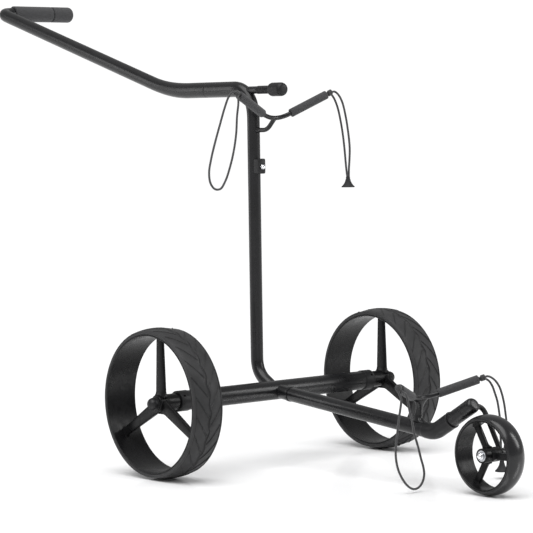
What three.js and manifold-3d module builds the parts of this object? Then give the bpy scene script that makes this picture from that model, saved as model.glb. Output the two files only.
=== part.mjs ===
// Three-wheeled golf push cart: a tubular frame with quick-release rear wheels,
// a single-sided front fork, two bag cradles with shock cords, and a swivelling
// handle with a one-sided grip. Millimetres, +Z up, the cart rolls along -Y.

import * as THREE from "three";
import { mergeVertices } from "three/addons/utils/BufferGeometryUtils.js";
import Module from "manifold-3d";

const wasm = await Module();
wasm.setup();

// ---------------------------------------------------------------- dimensions

const GAP = 0.3; // clearance between pieces that touch
const WHEEL_SEGMENTS = 48;

// Rear wheels and axle; x is measured from the cart's centre plane.
const REAR_RADIUS = 145;
const REAR_WIDTH = 69;
const REAR_TRACK_HALF = 286.7;
const REAR_EDGE_RADIUS = 140.9;
const REAR_RIM_INNER = 130.8;
const REAR_RIM_OUTER = 133.6;
const AXLE_RADIUS = 19;
const AXLE_BORE = 16.7;
const AXLE_HALF = 236;
const SPINDLE_RADIUS = 6;

// Front wheel; its centre is ahead of the rear axle.
const FRONT_RADIUS = 73.5;
const FRONT_WIDTH = 41.6;
const FRONT_CENTRE_Y = -586.2;
const FRONT_RIM_INNER = 61.5;
const FRONT_RIM_OUTER = 63.7;
const FRONT_HUB_RADIUS = 13.5;

// Front tube, stub, elbow and stem.
const TUBE_RADIUS = 14.15;
const TUBE_BORE = 11.7;
const TUBE_FALL = THREE.MathUtils.degToRad(5.4);
const TUBE_START = 47.4; // along the tube's axis from the axle's centre
const TUBE_END = 425;
const TUBE_HEIGHT = 144.5; // where the tube's axis meets the axle
const ELBOW_DISTANCE = 450; // from the axle to where tube and stem axes cross
const ELBOW_RADIUS = 16.2;
const STEM_RISE = THREE.MathUtils.degToRad(30.8);
const STEM_RADIUS = 14.2;
const STEM_START = 53; // along the stem's axis from the crossing
const CAP_START = 92;
const CAP_END = 119.5;
const CAP_RADIUS = 14.4;
const FORK_LEVEL = 106.6; // where the fork rod leaves the stem cap
const FORK_RADIUS = 4.8;
const FORK_X = 31;

// Mast, handle and clamp.
const MAST_Y = 57.5;
const MAST_RADIUS = 12.7;
const HEAD_Z = 744;
const HEAD_RADIUS = 15.8;
const SEAM_Y = 196;
const HANDLE_RADIUS = 13.7;
const HANDLE_END = new THREE.Vector3(0, 940, 931);
const GRIP_RADIUS = 17.7;
const GRIP_START = 33;
const GRIP_SEAM = 136;
const GRIP_END = 194;
const CLAMP_RADIUS = 8;

// Bag cradles: mirrored arm tips and the point where the arms' axes cross.
const ROD_RADIUS = 4.5;
const SLEEVE_RADIUS = 8.5;
const UPPER_TIP = new THREE.Vector3(115.7, -35.7, 731.4);
const UPPER_CROSS = new THREE.Vector3(0, -3.9, 677);
const LOWER_TIP = new THREE.Vector3(104.3, -462.4, 193.5);
const LOWER_CROSS = new THREE.Vector3(0, -403.2, 157.2);
const CORD_RADIUS = 2.15;

// Overall length sets the origin: on the ground, below the middle of the cart.
const FRONT_END_Y = FRONT_CENTRE_Y - FRONT_RADIUS;
const REAR_END_Y = HANDLE_END.y + GRIP_RADIUS;
const ORIGIN_Y = (FRONT_END_Y + REAR_END_Y) / 2;

// ----------------------------------------------------------------- materials

const finish = (color, roughness, metalness) =>
  new THREE.MeshStandardMaterial({ color, roughness, metalness });

const FINISH = {
  frame: finish(0x141416, 0.32, 0.4),
  plastic: finish(0x17171a, 0.45, 0),
  rim: finish(0x1b1b1e, 0.4, 0),
  tyre: finish(0x232325, 0.85, 0),
  frontTyre: finish(0x131315, 0.3, 0),
  foam: finish(0x2c2c2e, 0.92, 0),
  cord: finish(0x1a1a1c, 0.8, 0),
  chrome: finish(0xc9ccd0, 0.15, 1),
  steel: finish(0x8d9095, 0.35, 1),
};

// ------------------------------------------------------------------- helpers

const vec = (x, y, z) => new THREE.Vector3(x, y, z);

// Turns a geometry's faces outwards if its volume comes out negative.
function outward(geometry) {
  const bare = geometry.clone();
  bare.deleteAttribute("normal");
  bare.deleteAttribute("uv");
  const merged = mergeVertices(bare, 1e-3);
  const corners = merged.index.array;
  const at = (i) => new THREE.Vector3().fromBufferAttribute(merged.attributes.position, corners[i]);
  let volume = 0;
  for (let i = 0; i < corners.length; i += 3) {
    volume += at(i).dot(at(i + 1).cross(at(i + 2)));
  }
  if (volume < 0) {
    for (let i = 0; i < corners.length; i += 3) {
      [corners[i + 1], corners[i + 2]] = [corners[i + 2], corners[i + 1]];
    }
  }
  merged.computeVertexNormals();
  return merged;
}

function toSolid(geometry) {
  const closed = outward(geometry);
  const vertProperties = closed.attributes.position.array;
  const triVerts = new Uint32Array(closed.index.array);
  return new wasm.Manifold(new wasm.Mesh({ numProp: 3, vertProperties, triVerts }));
}

function toGeometry(solid) {
  const { vertProperties, triVerts } = solid.getMesh();
  const geometry = new THREE.BufferGeometry();
  geometry.setAttribute("position", new THREE.BufferAttribute(vertProperties, 3));
  geometry.setIndex(new THREE.BufferAttribute(triVerts, 1));
  geometry.computeVertexNormals();
  return geometry;
}

const joined = (...parts) => toGeometry(parts.map(toSolid).reduce((a, b) => a.add(b)));
const cut = (body, ...tools) =>
  toGeometry(tools.map(toSolid).reduce((a, b) => a.subtract(b), toSolid(body)));

// A shape turned about +X from [along, radius] pairs.
function turned(profile, segments = 20) {
  const points = profile.map(([along, radius]) => new THREE.Vector2(radius, along));
  const geometry = new THREE.LatheGeometry(points, segments);
  geometry.rotateZ(-Math.PI / 2);
  return outward(geometry);
}

const rod = (radius, from, to, segments) =>
  turned([[from, 0], [from, radius], [to, radius], [to, 0]], segments);
const ring = (inner, outer, from, to, segments) =>
  turned([[from, inner], [from, outer], [to, outer], [to, inner], [from, inner]], segments);

// Moves a geometry made along +X so that it starts at a point and runs along a direction.
function laid(geometry, start, direction) {
  const turn = new THREE.Quaternion().setFromUnitVectors(vec(1, 0, 0), direction.clone().normalize());
  return geometry.clone().applyQuaternion(turn).translate(start.x, start.y, start.z);
}

// A path through stations, with one extrusion step between each pair.
class StationPath extends THREE.Curve {
  constructor(stations) {
    super();
    this.stations = stations;
  }
  getPoint(t) {
    const place = Math.min(Math.max(t, 0), 1) * (this.stations.length - 1);
    const index = Math.min(Math.floor(place), this.stations.length - 2);
    return this.stations[index].clone().lerp(this.stations[index + 1], place - index);
  }
  getPointAt(t) {
    return this.getPoint(t);
  }
  getTangentAt(t) {
    return this.getTangent(t);
  }
}

// Stations along straight legs whose corners are rounded off by the given cuts.
function bent(corners, cuts, divisions = 5) {
  const stations = [corners[0]];
  for (let i = 1; i < corners.length - 1; i += 1) {
    const toward = (other) => corners[i].clone().addScaledVector(
      other.clone().sub(corners[i]).normalize(), cuts[i - 1]);
    const curve = new THREE.QuadraticBezierCurve3(
      toward(corners[i - 1]), corners[i], toward(corners[i + 1]));
    stations.push(...curve.getPoints(divisions));
  }
  stations.push(corners[corners.length - 1]);
  return stations;
}

function tube(stations, radius, sides = 16) {
  const section = new THREE.Shape().absarc(0, 0, radius, 0, 2 * Math.PI);
  return outward(new THREE.ExtrudeGeometry(section, {
    extrudePath: new StationPath(stations),
    steps: stations.length - 1,
    curveSegments: sides / 2, // an arc gets two points for each segment
  }));
}

const cart = new THREE.Group();
cart.position.y = -ORIGIN_Y;

function add(name, geometry, material, parent = cart) {
  const mesh = new THREE.Mesh(geometry, material);
  mesh.name = name;
  parent.add(mesh);
  return mesh;
}

const mirrored = (point, side) => vec(point.x * side, point.y, point.z);

// ---------------------------------------------------------------- rear axle

const axleSolid = ring(AXLE_BORE, AXLE_RADIUS, -AXLE_HALF, AXLE_HALF, 32);
const axleTube = add("axle_tube", axleSolid, FINISH.frame);
axleTube.position.z = REAR_RADIUS;
const axleClearance = rod(AXLE_RADIUS + GAP, -AXLE_HALF, AXLE_HALF, 32).translate(0, 0, REAR_RADIUS);

// A rear wheel with its plug, spindle and release collar, made along +X from
// the wheel's middle plane; the left one is the same group turned half round.
function rearWheel(sideName, side) {
  const group = new THREE.Group();
  group.position.set(side * REAR_TRACK_HALF, 0, REAR_RADIUS);
  group.rotation.z = side > 0 ? 0 : Math.PI;
  cart.add(group);

  const half = REAR_WIDTH / 2;
  const inner = REAR_RIM_OUTER + GAP;
  const crown = [-1, -0.66, -0.33, 0, 0.33, 0.66, 1].map((t) => [
    t * half,
    REAR_EDGE_RADIUS + (REAR_RADIUS - REAR_EDGE_RADIUS) * (1 - t * t),
  ]);
  const tyre = turned([[-half, inner], ...crown, [half, inner], [-half, inner]], WHEEL_SEGMENTS);
  add(`${sideName}_tyre`, tyre, FINISH.tyre, group);

  const hubInner = 255 - REAR_TRACK_HALF;
  const hubOuter = 303 - REAR_TRACK_HALF;
  const shell = ring(REAR_RIM_INNER, REAR_RIM_OUTER, -half + 0.4, half - 0.4, WHEEL_SEGMENTS);
  const hub = turned([
    [hubInner, 0], [hubInner, 16.2], [hubOuter - 2, 16.2], [hubOuter, 14.4], [hubOuter, 0],
  ]);
  const blade = new THREE.Shape();
  blade.moveTo(-15, 0);
  blade.lineTo(-8, REAR_RIM_INNER + 1);
  blade.lineTo(8, REAR_RIM_INNER + 1);
  blade.lineTo(15, 0);
  blade.closePath();
  const spokes = [0, 1, 2].map((i) => {
    const spoke = new THREE.ExtrudeGeometry(blade, { depth: 10, bevelEnabled: false });
    spoke.translate(0, 0, -2);
    spoke.rotateX(Math.PI / 2).rotateZ(Math.PI / 2);
    return spoke.rotateX((i * 2 * Math.PI) / 3);
  });
  const seatDepth = 8;
  const seat = 14;
  const rim = cut(
    joined(shell, hub, ...spokes),
    rod(8, hubInner - 1, hubOuter + 1),
    rod(seat, hubInner - 1, hubInner + seatDepth),
    rod(seat, hubOuter - seatDepth, hubOuter + 1),
  );
  add(`${sideName}_rim`, rim, FINISH.rim, group);

  const bearing = ring(SPINDLE_RADIUS + 0.35, seat - GAP, 0, seatDepth - 1, 28);
  add(`${sideName}_inner_bearing`, bearing, FINISH.steel, group).position.x = hubInner + 0.5;
  add(`${sideName}_outer_bearing`, bearing.clone(), FINISH.steel, group).position.x = hubOuter - 7.5;

  const ballRadius = 12;
  const ballCentre = half - ballRadius;
  const dome = [];
  for (let angle = 110; angle >= 10; angle -= 20) {
    const turn = THREE.MathUtils.degToRad(angle);
    dome.push([ballCentre + ballRadius * Math.cos(turn), ballRadius * Math.sin(turn)]);
  }
  const disc = hubOuter + GAP;
  const cap = turned([[disc, 0], [disc, 12.6], [disc + 1.4, 12.6], [disc + 1.4, 11], ...dome,
    [half, 0]], 20);
  add(`${sideName}_hub_cap`, cap, FINISH.plastic, group);

  const axleEnd = AXLE_HALF - REAR_TRACK_HALF;
  const plug = turned([
    [axleEnd - 34, SPINDLE_RADIUS + GAP], [axleEnd - 34, AXLE_BORE - GAP], [axleEnd, AXLE_BORE - GAP],
    [axleEnd, 15], [hubInner - 1, 15], [hubInner - 1, SPINDLE_RADIUS + GAP],
    [axleEnd - 34, SPINDLE_RADIUS + GAP],
  ]);
  add(`${sideName}_axle_plug`, plug, FINISH.plastic, group);
  const spindle = turned([
    [axleEnd - 46, 0], [axleEnd - 46, 10], [axleEnd - 36, 10], [axleEnd - 36, SPINDLE_RADIUS],
    [hubOuter - 3, SPINDLE_RADIUS], [hubOuter - 1, SPINDLE_RADIUS - 2], [hubOuter - 1, 0],
  ], 28);
  add(`${sideName}_spindle`, spindle, FINISH.steel, group);
  // The collar slides on the plug's neck and its skirt slides over the axle tube.
  const collar = turned([
    [0, 19.35], [0, 19.9], [0.5, 20.2], [23.5, 20.2], [24.5, 19.2], [24.5, 15.4],
    [12.3, 15.4], [12.3, 19.35], [0, 19.35],
  ], 32);
  add(`${sideName}_release_collar`, collar, FINISH.plastic, group).position.x = axleEnd - 7;
}

rearWheel("right", 1);
rearWheel("left", -1);

// ---------------------------------------------------------- mast and handle

const mastPath = bent(
  [vec(0, 6, 147), vec(0, MAST_Y, 176), vec(0, MAST_Y, HEAD_Z), vec(0, SEAM_Y - 40, HEAD_Z)],
  [30, 60],
);
const alongY = vec(0, 1, 0);
const mastEnd = laid(rod(HEAD_RADIUS, 0, SEAM_Y - GAP - 112), vec(0, 112, HEAD_Z), alongY);
const clampBore = laid(rod(CLAMP_RADIUS + 0.4, 0, 75), vec(0, 0, HEAD_Z - 2.5), alongY);
const rodBore = laid(rod(5, 0, 200), vec(0, 50, HEAD_Z - 2.5), alongY);
const mast = cut(joined(tube(mastPath, MAST_RADIUS, 20), mastEnd), axleClearance, clampBore, rodBore);
add("mast_tube", mast, FINISH.frame);

const handlePath = bent(
  [vec(0, SEAM_Y + 40, HEAD_Z), vec(0, 323, HEAD_Z), HANDLE_END, HANDLE_END.clone().setX(GRIP_END - 12)],
  [62, 30],
);
const handleStart = laid(rod(HEAD_RADIUS, 0, 88), vec(0, SEAM_Y, HEAD_Z), alongY);
// The bore lets the handle swivel round its own axis, which is above the screw's.
const handleBore = laid(rod(7.6, 0, 72, 24), vec(0, 170, HEAD_Z), alongY);
const handle = cut(joined(tube(handlePath, HANDLE_RADIUS, 20), handleStart), handleBore);
add("handle_tube", handle, FINISH.frame);

const gripDirection = vec(1, 0, 0);
const grip = ring(HANDLE_RADIUS + GAP, GRIP_RADIUS, GRIP_START, GRIP_SEAM, 32);
add("grip_sleeve", laid(grip, HANDLE_END, gripDirection), FINISH.foam);
const gripEnd = turned([
  [GRIP_SEAM + 2.5, HANDLE_RADIUS + GAP], [GRIP_SEAM + 2.5, GRIP_RADIUS], [GRIP_END - 8, GRIP_RADIUS],
  [GRIP_END - 2.5, GRIP_RADIUS - 2.5], [GRIP_END, GRIP_RADIUS - 8], [GRIP_END, 0],
  [GRIP_END - 11, 0], [GRIP_END - 11, HANDLE_RADIUS + GAP], [GRIP_SEAM + 2.5, HANDLE_RADIUS + GAP],
]);
add("grip_end", laid(gripEnd, HANDLE_END, gripDirection), FINISH.foam);

// The clamp screw runs through the mast head into the handle; the knob turns it.
const clampScrew = turned([
  [-20, 0], [-20, 6], [-1, 6], [-1, CLAMP_RADIUS], [70, CLAMP_RADIUS], [72, 4.6], [232, 4.6], [232, 0],
]);
const screwLine = vec(0, 0, HEAD_Z - 2.5);
const knobProfile = [[0.5, 6.4], [0.5, 12], [-1.5, 13.6], [-31, 13.6], [-36, 9], [-37, 0], [-22, 0],
  [-22, 6.4], [0.5, 6.4]];
add("clamp_knob", laid(turned(knobProfile), screwLine, alongY), FINISH.plastic);
add("clamp_screw", laid(cut(clampScrew, ring(6, 9, -2, 0.9)), screwLine, alongY), FINISH.frame);

// ------------------------------------------------- accessory block on the mast

const blockFront = 32.5;
const blockDepth = MAST_Y - MAST_RADIUS + 4 - blockFront;
const blockShape = new THREE.BoxGeometry(18, blockDepth, 30).translate(0, blockFront + blockDepth / 2, 590);
const mastClearance = laid(rod(MAST_RADIUS + GAP, 0, 100, 24), vec(0, MAST_Y, 540), vec(0, 0, 1));
const screwHole = laid(rod(3.3, 0, 40), vec(0, 20, 588.5), alongY);
const nutSeat = laid(rod(6, -1, 0.9, 24), vec(0, blockFront, 588.5), alongY);
add("accessory_block", cut(blockShape, mastClearance, screwHole, nutSeat), FINISH.plastic);
const domeNut = turned([
  [0.6, 0], [0.6, 5.5], [-2.3, 5.5], [-2.3, 4.2], [-5, 3.4], [-6.5, 1.5], [-7, 0],
], 24);
add("accessory_nut", laid(domeNut, vec(0, blockFront, 588.5), alongY), FINISH.chrome);
add("accessory_screw", laid(rod(3, 1.2, 11.5, 20), vec(0, blockFront, 588.5), alongY), FINISH.steel);

// -------------------------------------------------------------- bag cradles

// The round rod of a cradle: both arms and the rounded bottom between them.
const cradleRod = (tip, cross, cutLength) =>
  tube(bent([mirrored(tip, -1), cross, tip], [cutLength], 6), ROD_RADIUS, 12);

// A foam sleeve on each arm, from near the cradle's bottom to near the tip.
function sleeves(prefix, tip, cross, from, to) {
  for (const [sideName, side] of [["left", -1], ["right", 1]]) {
    const end = mirrored(tip, side);
    const direction = end.clone().sub(cross).normalize();
    const sleeve = ring(ROD_RADIUS + GAP, SLEEVE_RADIUS, from, to, 20);
    add(`${prefix}_${sideName}_sleeve`, laid(sleeve, cross, direction), FINISH.foam);
  }
}

const strut = tube(bent([vec(0, 60, 661.7), vec(0, 16, 661.7), vec(0, -9, 686)], [12], 4), ROD_RADIUS, 12);
const mastCut = laid(rod(MAST_RADIUS + GAP, 0, 200, 24), vec(0, MAST_Y, 560), vec(0, 0, 1));
const upperRod = joined(cradleRod(UPPER_TIP, UPPER_CROSS, 40), strut);
add("upper_cradle", cut(upperRod, mastCut), FINISH.frame);
const upperLength = UPPER_TIP.distanceTo(UPPER_CROSS);
sleeves("upper", UPPER_TIP, UPPER_CROSS, upperLength - 90, upperLength - 3);

// ---------------------------------------------------------------- front arm

const tubeOrigin = vec(0, 0, TUBE_HEIGHT);
const tubeLine = vec(0, -Math.cos(TUBE_FALL), -Math.sin(TUBE_FALL));
const crossing = tubeOrigin.clone().addScaledVector(tubeLine, ELBOW_DISTANCE);
const stemLine = vec(0, -Math.cos(STEM_RISE), Math.sin(STEM_RISE));
const onTube = (distance) => tubeOrigin.clone().addScaledVector(tubeLine, distance);
const onStem = (distance) => crossing.clone().addScaledVector(stemLine, distance);

const stub = turned([
  [6, 0], [6, TUBE_RADIUS], [41, TUBE_RADIUS], [41, 15.2], [TUBE_START - GAP, 15.2],
  [TUBE_START - GAP, TUBE_BORE - 0.35], [118, TUBE_BORE - 0.35], [120, TUBE_BORE - 2], [120, 0],
]);
add("front_stub", cut(laid(stub, tubeOrigin, tubeLine), axleClearance), FINISH.frame);
add("front_tube", laid(ring(TUBE_BORE, TUBE_RADIUS, TUBE_START, TUBE_END, 28), tubeOrigin, tubeLine),
  FINISH.frame);

const elbowPath = bent([onTube(TUBE_END + GAP), crossing, onStem(STEM_START)], [24], 6);
add("elbow_casting", tube(elbowPath, ELBOW_RADIUS, 24), FINISH.plastic);
const pinRadius = 6;
const stem = ring(pinRadius + 0.4, STEM_RADIUS, STEM_START + GAP, CAP_START - GAP, 28);
add("stem_tube", laid(stem, crossing, stemLine), FINISH.frame);
add("swivel_pin", laid(rod(pinRadius, STEM_START + 6, FORK_LEVEL - 7, 20), crossing, stemLine), FINISH.steel);

const capBody = turned([
  [CAP_START, 0], [CAP_START, CAP_RADIUS], [CAP_END - 5, CAP_RADIUS], [CAP_END - 2, CAP_RADIUS - 2],
  [CAP_END, CAP_RADIUS - 5.5], [CAP_END, 0],
]);
const pinHole = rod(pinRadius + GAP, CAP_START - 1, FORK_LEVEL - 6.5, 20);
const rodHole = rod(FORK_RADIUS + GAP, -10, 30, 20).rotateX(0).translate(0, onStem(FORK_LEVEL).y,
  onStem(FORK_LEVEL).z);
add("stem_cap", cut(laid(capBody, crossing, stemLine), laid(pinHole, crossing, stemLine), rodHole),
  FINISH.plastic);

// Lower cradle: a saddle post on the front tube that carries the arms.
const SADDLE_DISTANCE = 403;
const post = new THREE.Shape();
post.moveTo(-22, -6);
post.lineTo(-22, 1.5);
post.quadraticCurveTo(-8, 4, -7, 14);
post.quadraticCurveTo(-7, 30, -5, 40);
post.lineTo(5, 40);
post.quadraticCurveTo(7, 30, 7, 14);
post.quadraticCurveTo(8, 4, 22, 1.5);
post.lineTo(22, -6);
post.closePath();
const postSolid = new THREE.ExtrudeGeometry(post, { depth: 10, bevelEnabled: false, curveSegments: 5 });
postSolid.translate(0, 0, -5).rotateX(Math.PI / 2).rotateZ(Math.PI / 2);
postSolid.rotateX(TUBE_FALL).translate(0, onTube(SADDLE_DISTANCE).y, onTube(SADDLE_DISTANCE).z + TUBE_RADIUS);
const lowerRod = joined(cradleRod(LOWER_TIP, LOWER_CROSS, 40), postSolid);
const tubeClearance = laid(rod(TUBE_RADIUS + GAP, 300, 430, 28), tubeOrigin, tubeLine);
add("lower_cradle", cut(lowerRod, tubeClearance), FINISH.frame);
const lowerLength = LOWER_TIP.distanceTo(LOWER_CROSS);
sleeves("lower", LOWER_TIP, LOWER_CROSS, lowerLength - 84, lowerLength - 3);

// ------------------------------------------------------ fork and front wheel

const hubCentre = vec(0, FRONT_CENTRE_Y, FRONT_RADIUS);
const forkTop = onStem(FORK_LEVEL);
const forkPath = bent(
  [vec(-9, forkTop.y, forkTop.z), vec(FORK_X, forkTop.y, forkTop.z), vec(FORK_X, hubCentre.y, hubCentre.z)],
  [19], 6,
);
const eye = rod(9.5, FORK_X - 4.8, FORK_X + 4.8, 24).translate(0, hubCentre.y, hubCentre.z);
const eyeHole = rod(4.4, FORK_X - 9, FORK_X + 9, 20).translate(0, hubCentre.y, hubCentre.z);
add("fork_rod", cut(joined(tube(forkPath, FORK_RADIUS, 14), eye), eyeHole), FINISH.frame);

const frontWheel = new THREE.Group();
frontWheel.position.copy(hubCentre);
cart.add(frontWheel);

const frontHalf = FRONT_WIDTH / 2;
const frontInner = FRONT_RIM_OUTER + GAP;
const shoulder = [[-frontHalf, 66.2]];
for (const t of [-0.9, -0.5, 0, 0.5, 0.9]) {
  shoulder.push([t * frontHalf, 64.5 + (FRONT_RADIUS - 64.5) * Math.sqrt(1 - t * t)]);
}
shoulder.push([frontHalf, 66.2]);
const frontTyre = turned(
  [[-frontHalf, frontInner], ...shoulder, [frontHalf, frontInner], [-frontHalf, frontInner]], WHEEL_SEGMENTS);
add("front_tyre", frontTyre, FINISH.frontTyre, frontWheel);

const frontShell = ring(FRONT_RIM_INNER, FRONT_RIM_OUTER, -frontHalf + 0.5, frontHalf - 0.5, WHEEL_SEGMENTS);
const frontHub = rod(FRONT_HUB_RADIUS, -frontHalf, frontHalf, 28);
const frontSpokes = [90, 210, 330].map((degrees) => {
  const spoke = new THREE.BoxGeometry(7, 13, FRONT_RIM_INNER + 1).translate(0, 0, (FRONT_RIM_INNER + 1) / 2);
  return spoke.rotateX(THREE.MathUtils.degToRad(degrees));
});
const frontSeat = 10.5;
const frontRim = cut(
  joined(frontShell, frontHub, ...frontSpokes),
  rod(5.5, -30, 30, 20),
  rod(frontSeat, -30, -frontHalf + 7, 28),
  rod(frontSeat, frontHalf - 7, 30, 28),
);
add("front_rim", frontRim, FINISH.rim, frontWheel);
const frontBearing = ring(4.35, frontSeat - GAP, 0, 6.2, 24);
add("front_near_bearing", frontBearing, FINISH.steel, frontWheel).position.x = -frontHalf + 0.4;
add("front_far_bearing", frontBearing.clone(), FINISH.steel, frontWheel).position.x = frontHalf - 6.6;

const fixedAxle = new THREE.Group();
fixedAxle.position.copy(hubCentre);
cart.add(fixedAxle);
const axleBolt = turned([[-24, 0], [-24, 4], [FORK_X + 5.2, 4], [FORK_X + 5.2, 6.8], [FORK_X + 9, 6.8],
  [FORK_X + 10, 5], [FORK_X + 10, 0]], 24);
add("front_axle_bolt", axleBolt, FINISH.steel, fixedAxle);
add("front_spacer", ring(4.35, 6.5, frontHalf + GAP, FORK_X - 5.2, 24), FINISH.steel, fixedAxle);
const axleNut = turned([[-29.5, 0], [-29, 3.5], [-27, 6], [-25, 6.8], [-21.2, 6.8], [-21.2, 4.3],
  [-24.4, 4.3], [-24.4, 0]], 24);
add("front_axle_nut", axleNut, FINISH.chrome, fixedAxle);

// -------------------------------------------------------------- shock cords

// A knot that holds a cord's ends against the arm's tip.
function knot(name, tip, cross) {
  const outwardLine = tip.clone().sub(cross).normalize();
  const shape = turned([[0.3, 0], [0.3, 4], [3, 6.2], [7.5, 6.2], [10.5, 3.5], [11, 0]], 16);
  add(name, laid(shape, tip, outwardLine), FINISH.cord);
}

// A free cord: a tube through points chosen where the cord hangs, one step every few diameters.
function cord(name, points, steps) {
  const curve = new THREE.CatmullRomCurve3(points.map((p) => vec(...p)), false, "centripetal");
  add(name, tube(curve.getSpacedPoints(steps), CORD_RADIUS, 8), FINISH.cord);
}

// A flared rubber hook with a solid core at the bottom of a doubled cord.
function cordHook(name, x, y, top) {
  const shape = turned([[0, 0], [0, 3.5], [-7, 5.5], [-19, 13], [-22, 13.5], [-22, 0]], 24);
  add(name, laid(shape, vec(x, y, top), vec(0, 0, 1)), FINISH.plastic);
}

for (const [prefix, tip, cross] of [["upper", UPPER_TIP, UPPER_CROSS], ["lower", LOWER_TIP, LOWER_CROSS]]) {
  knot(`${prefix}_left_knot`, mirrored(tip, -1), cross);
  knot(`${prefix}_right_knot`, tip, cross);
}

cord("upper_left_cord", [
  [-131, -36, 736], [-139, -34, 727], [-147, -31, 706], [-157, -29, 676], [-169, -28, 642],
  [-181, -29, 608], [-189, -32, 582], [-189, -36, 562], [-181, -39, 551], [-169, -41, 551],
  [-157, -42, 566], [-146, -43, 592], [-137, -44, 622], [-130, -44, 656], [-127, -44, 690],
  [-124, -45, 716], [-123, -43, 726],
], 34);
cord("upper_right_outer_cord", [
  [131, -40, 736], [140, -41, 730], [149, -42, 716], [157, -42, 692], [165, -41, 658], [170, -40, 624],
  [170, -39, 600], [169, -38, 580], [168.5, -38, 566.5],
], 17);
cord("upper_right_inner_cord", [
  [129, -33, 730], [137, -32, 722], [146, -32, 704], [153, -33, 676], [158, -34, 646], [161, -35, 616],
  [162.5, -36, 592], [163.5, -37, 576], [164, -38, 566.5],
], 17);
cordHook("upper_hook", 166.2, -38, 566);

cord("lower_left_cord", [
  [-110, -468, 185], [-105, -467, 178], [-103, -466, 169.5], [-108, -466, 144], [-113, -466, 116.5],
  [-117, -466, 92.5], [-118, -466, 71.7], [-113.7, -466, 50.3], [-104.4, -466, 31.8], [-91.4, -466, 16.3],
  [-75.8, -466, 7], [-62.4, -466, 7.7], [-52.5, -466, 15.4], [-47, -466, 28.9], [-48.5, -466, 43.2],
  [-54.3, -466, 59.7], [-62.4, -466, 85.1], [-71.8, -466, 110.6], [-77.5, -467, 134],
  [-84.4, -468, 152.1], [-91.3, -470, 173.7], [-97.5, -471, 184], [-102, -471, 186],
], 42);
cord("lower_right_outer_cord", [
  [118, -468.5, 197.5], [127, -469, 195], [139.5, -469, 187], [149.5, -469, 175.5], [157, -468, 162],
  [163, -468, 143], [168, -467, 122], [170.5, -467, 104], [170, -467, 84], [166, -466, 60],
  [160.5, -466, 36],
], 15);
cord("lower_right_inner_cord", [
  [118, -463.5, 192.5], [128.5, -463, 187], [137, -463, 177], [143.5, -463, 163.5], [149, -464, 148],
  [153, -464, 130], [155.5, -465, 108], [156, -465, 80], [156, -466, 55], [155.8, -466, 36],
], 15);
cordHook("lower_hook", 158, -466, 35.5);

export default cart;
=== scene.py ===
"""Golf push cart: fine surfaces, finishes, shock cords, stage and camera.

Laid out as a Blender add-on and run as a script. Lengths are metres in the cart's
own frame; helper positions are millimetres from the ground below the axle's middle.
"""

import math

import bpy
from mathutils import Matrix, Vector


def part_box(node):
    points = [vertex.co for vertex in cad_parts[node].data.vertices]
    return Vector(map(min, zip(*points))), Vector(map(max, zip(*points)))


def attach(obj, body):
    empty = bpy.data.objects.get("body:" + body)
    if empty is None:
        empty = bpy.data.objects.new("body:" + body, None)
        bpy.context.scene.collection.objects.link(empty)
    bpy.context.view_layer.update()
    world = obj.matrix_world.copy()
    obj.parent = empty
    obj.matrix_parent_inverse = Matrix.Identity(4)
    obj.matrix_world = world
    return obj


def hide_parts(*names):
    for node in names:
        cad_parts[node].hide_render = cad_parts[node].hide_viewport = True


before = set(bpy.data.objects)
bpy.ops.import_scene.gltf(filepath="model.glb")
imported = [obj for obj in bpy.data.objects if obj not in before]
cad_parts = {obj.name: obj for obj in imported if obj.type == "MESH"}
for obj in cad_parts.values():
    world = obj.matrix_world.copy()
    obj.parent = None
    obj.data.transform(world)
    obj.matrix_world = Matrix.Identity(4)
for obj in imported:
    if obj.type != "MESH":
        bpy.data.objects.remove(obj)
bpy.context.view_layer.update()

bl_info = {
    "name": "Golf push cart",
    "version": (1, 0, 0),
    "blender": (4, 5, 0),
    "location": "View3D > Sidebar > Push cart",
    "description": "Builds the fine surfaces and finishes of a three-wheeled golf push cart",
    "category": "Object",
}

# ------------------------------------------------------------ places and sizes

MM = 0.001


def box_of(node):
    low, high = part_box(node)
    return Vector(low), Vector(high)


def middle(node):
    low, high = box_of(node)
    return (low + high) / 2


AXLE = middle("axle_tube")
ORIGIN = Vector((AXLE.x, AXLE.y, 0.0))
FRONT_HUB = middle("front_tyre")
LEFT_HUB = middle("left_tyre")
RIGHT_HUB = middle("right_tyre")


def at(x, y, z):
    """A point given in millimetres from the ground below the axle's middle."""
    return ORIGIN + Vector((x, y, z)) * MM


def mirror(point, side):
    return Vector((point.x * side, point.y, point.z))


ALONG_X = Vector((1, 0, 0))
ALONG_Y = Vector((0, 1, 0))
ALONG_Z = Vector((0, 0, 1))

# Sizes in millimetres and angles, the same as the solids' own.
AXLE_RADIUS = 19
AXLE_BORE = 16.7
AXLE_HALF = 236
MAST_Y = 57.5
MAST_RADIUS = 12.7
HEAD_RADIUS = 15.8
HEAD_Z = 744
SEAM_Y = 196
SCREW_Z = 741.5
HANDLE_RADIUS = 13.7
GRIP_RADIUS = 17.7
GAP = 0.3
TUBE_RADIUS = 14.15
TUBE_BORE = 11.7
TUBE_START = 47.4
TUBE_END = 425
TUBE_FALL = math.radians(5.4)
STEM_RISE = math.radians(30.8)
STEM_RADIUS = 14.2
STEM_START = 53
CAP_START = 92
CAP_END = 119.5
CAP_RADIUS = 14.4
FORK_LEVEL = 106.6
FORK_RADIUS = 4.8
FORK_X = 31
ROD_RADIUS = 4.5
SLEEVE_RADIUS = 8.5
CRADLE_BEND = 40
REAR_RADIUS = 145
REAR_HALF = 34.5
REAR_EDGE_RADIUS = 140.9
FRONT_HALF = 20.8
BALL_RADIUS = 12
BALL_PLACE = 22.5
BRAID_STRANDS = 8.0  # strands each way round a cord

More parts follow.
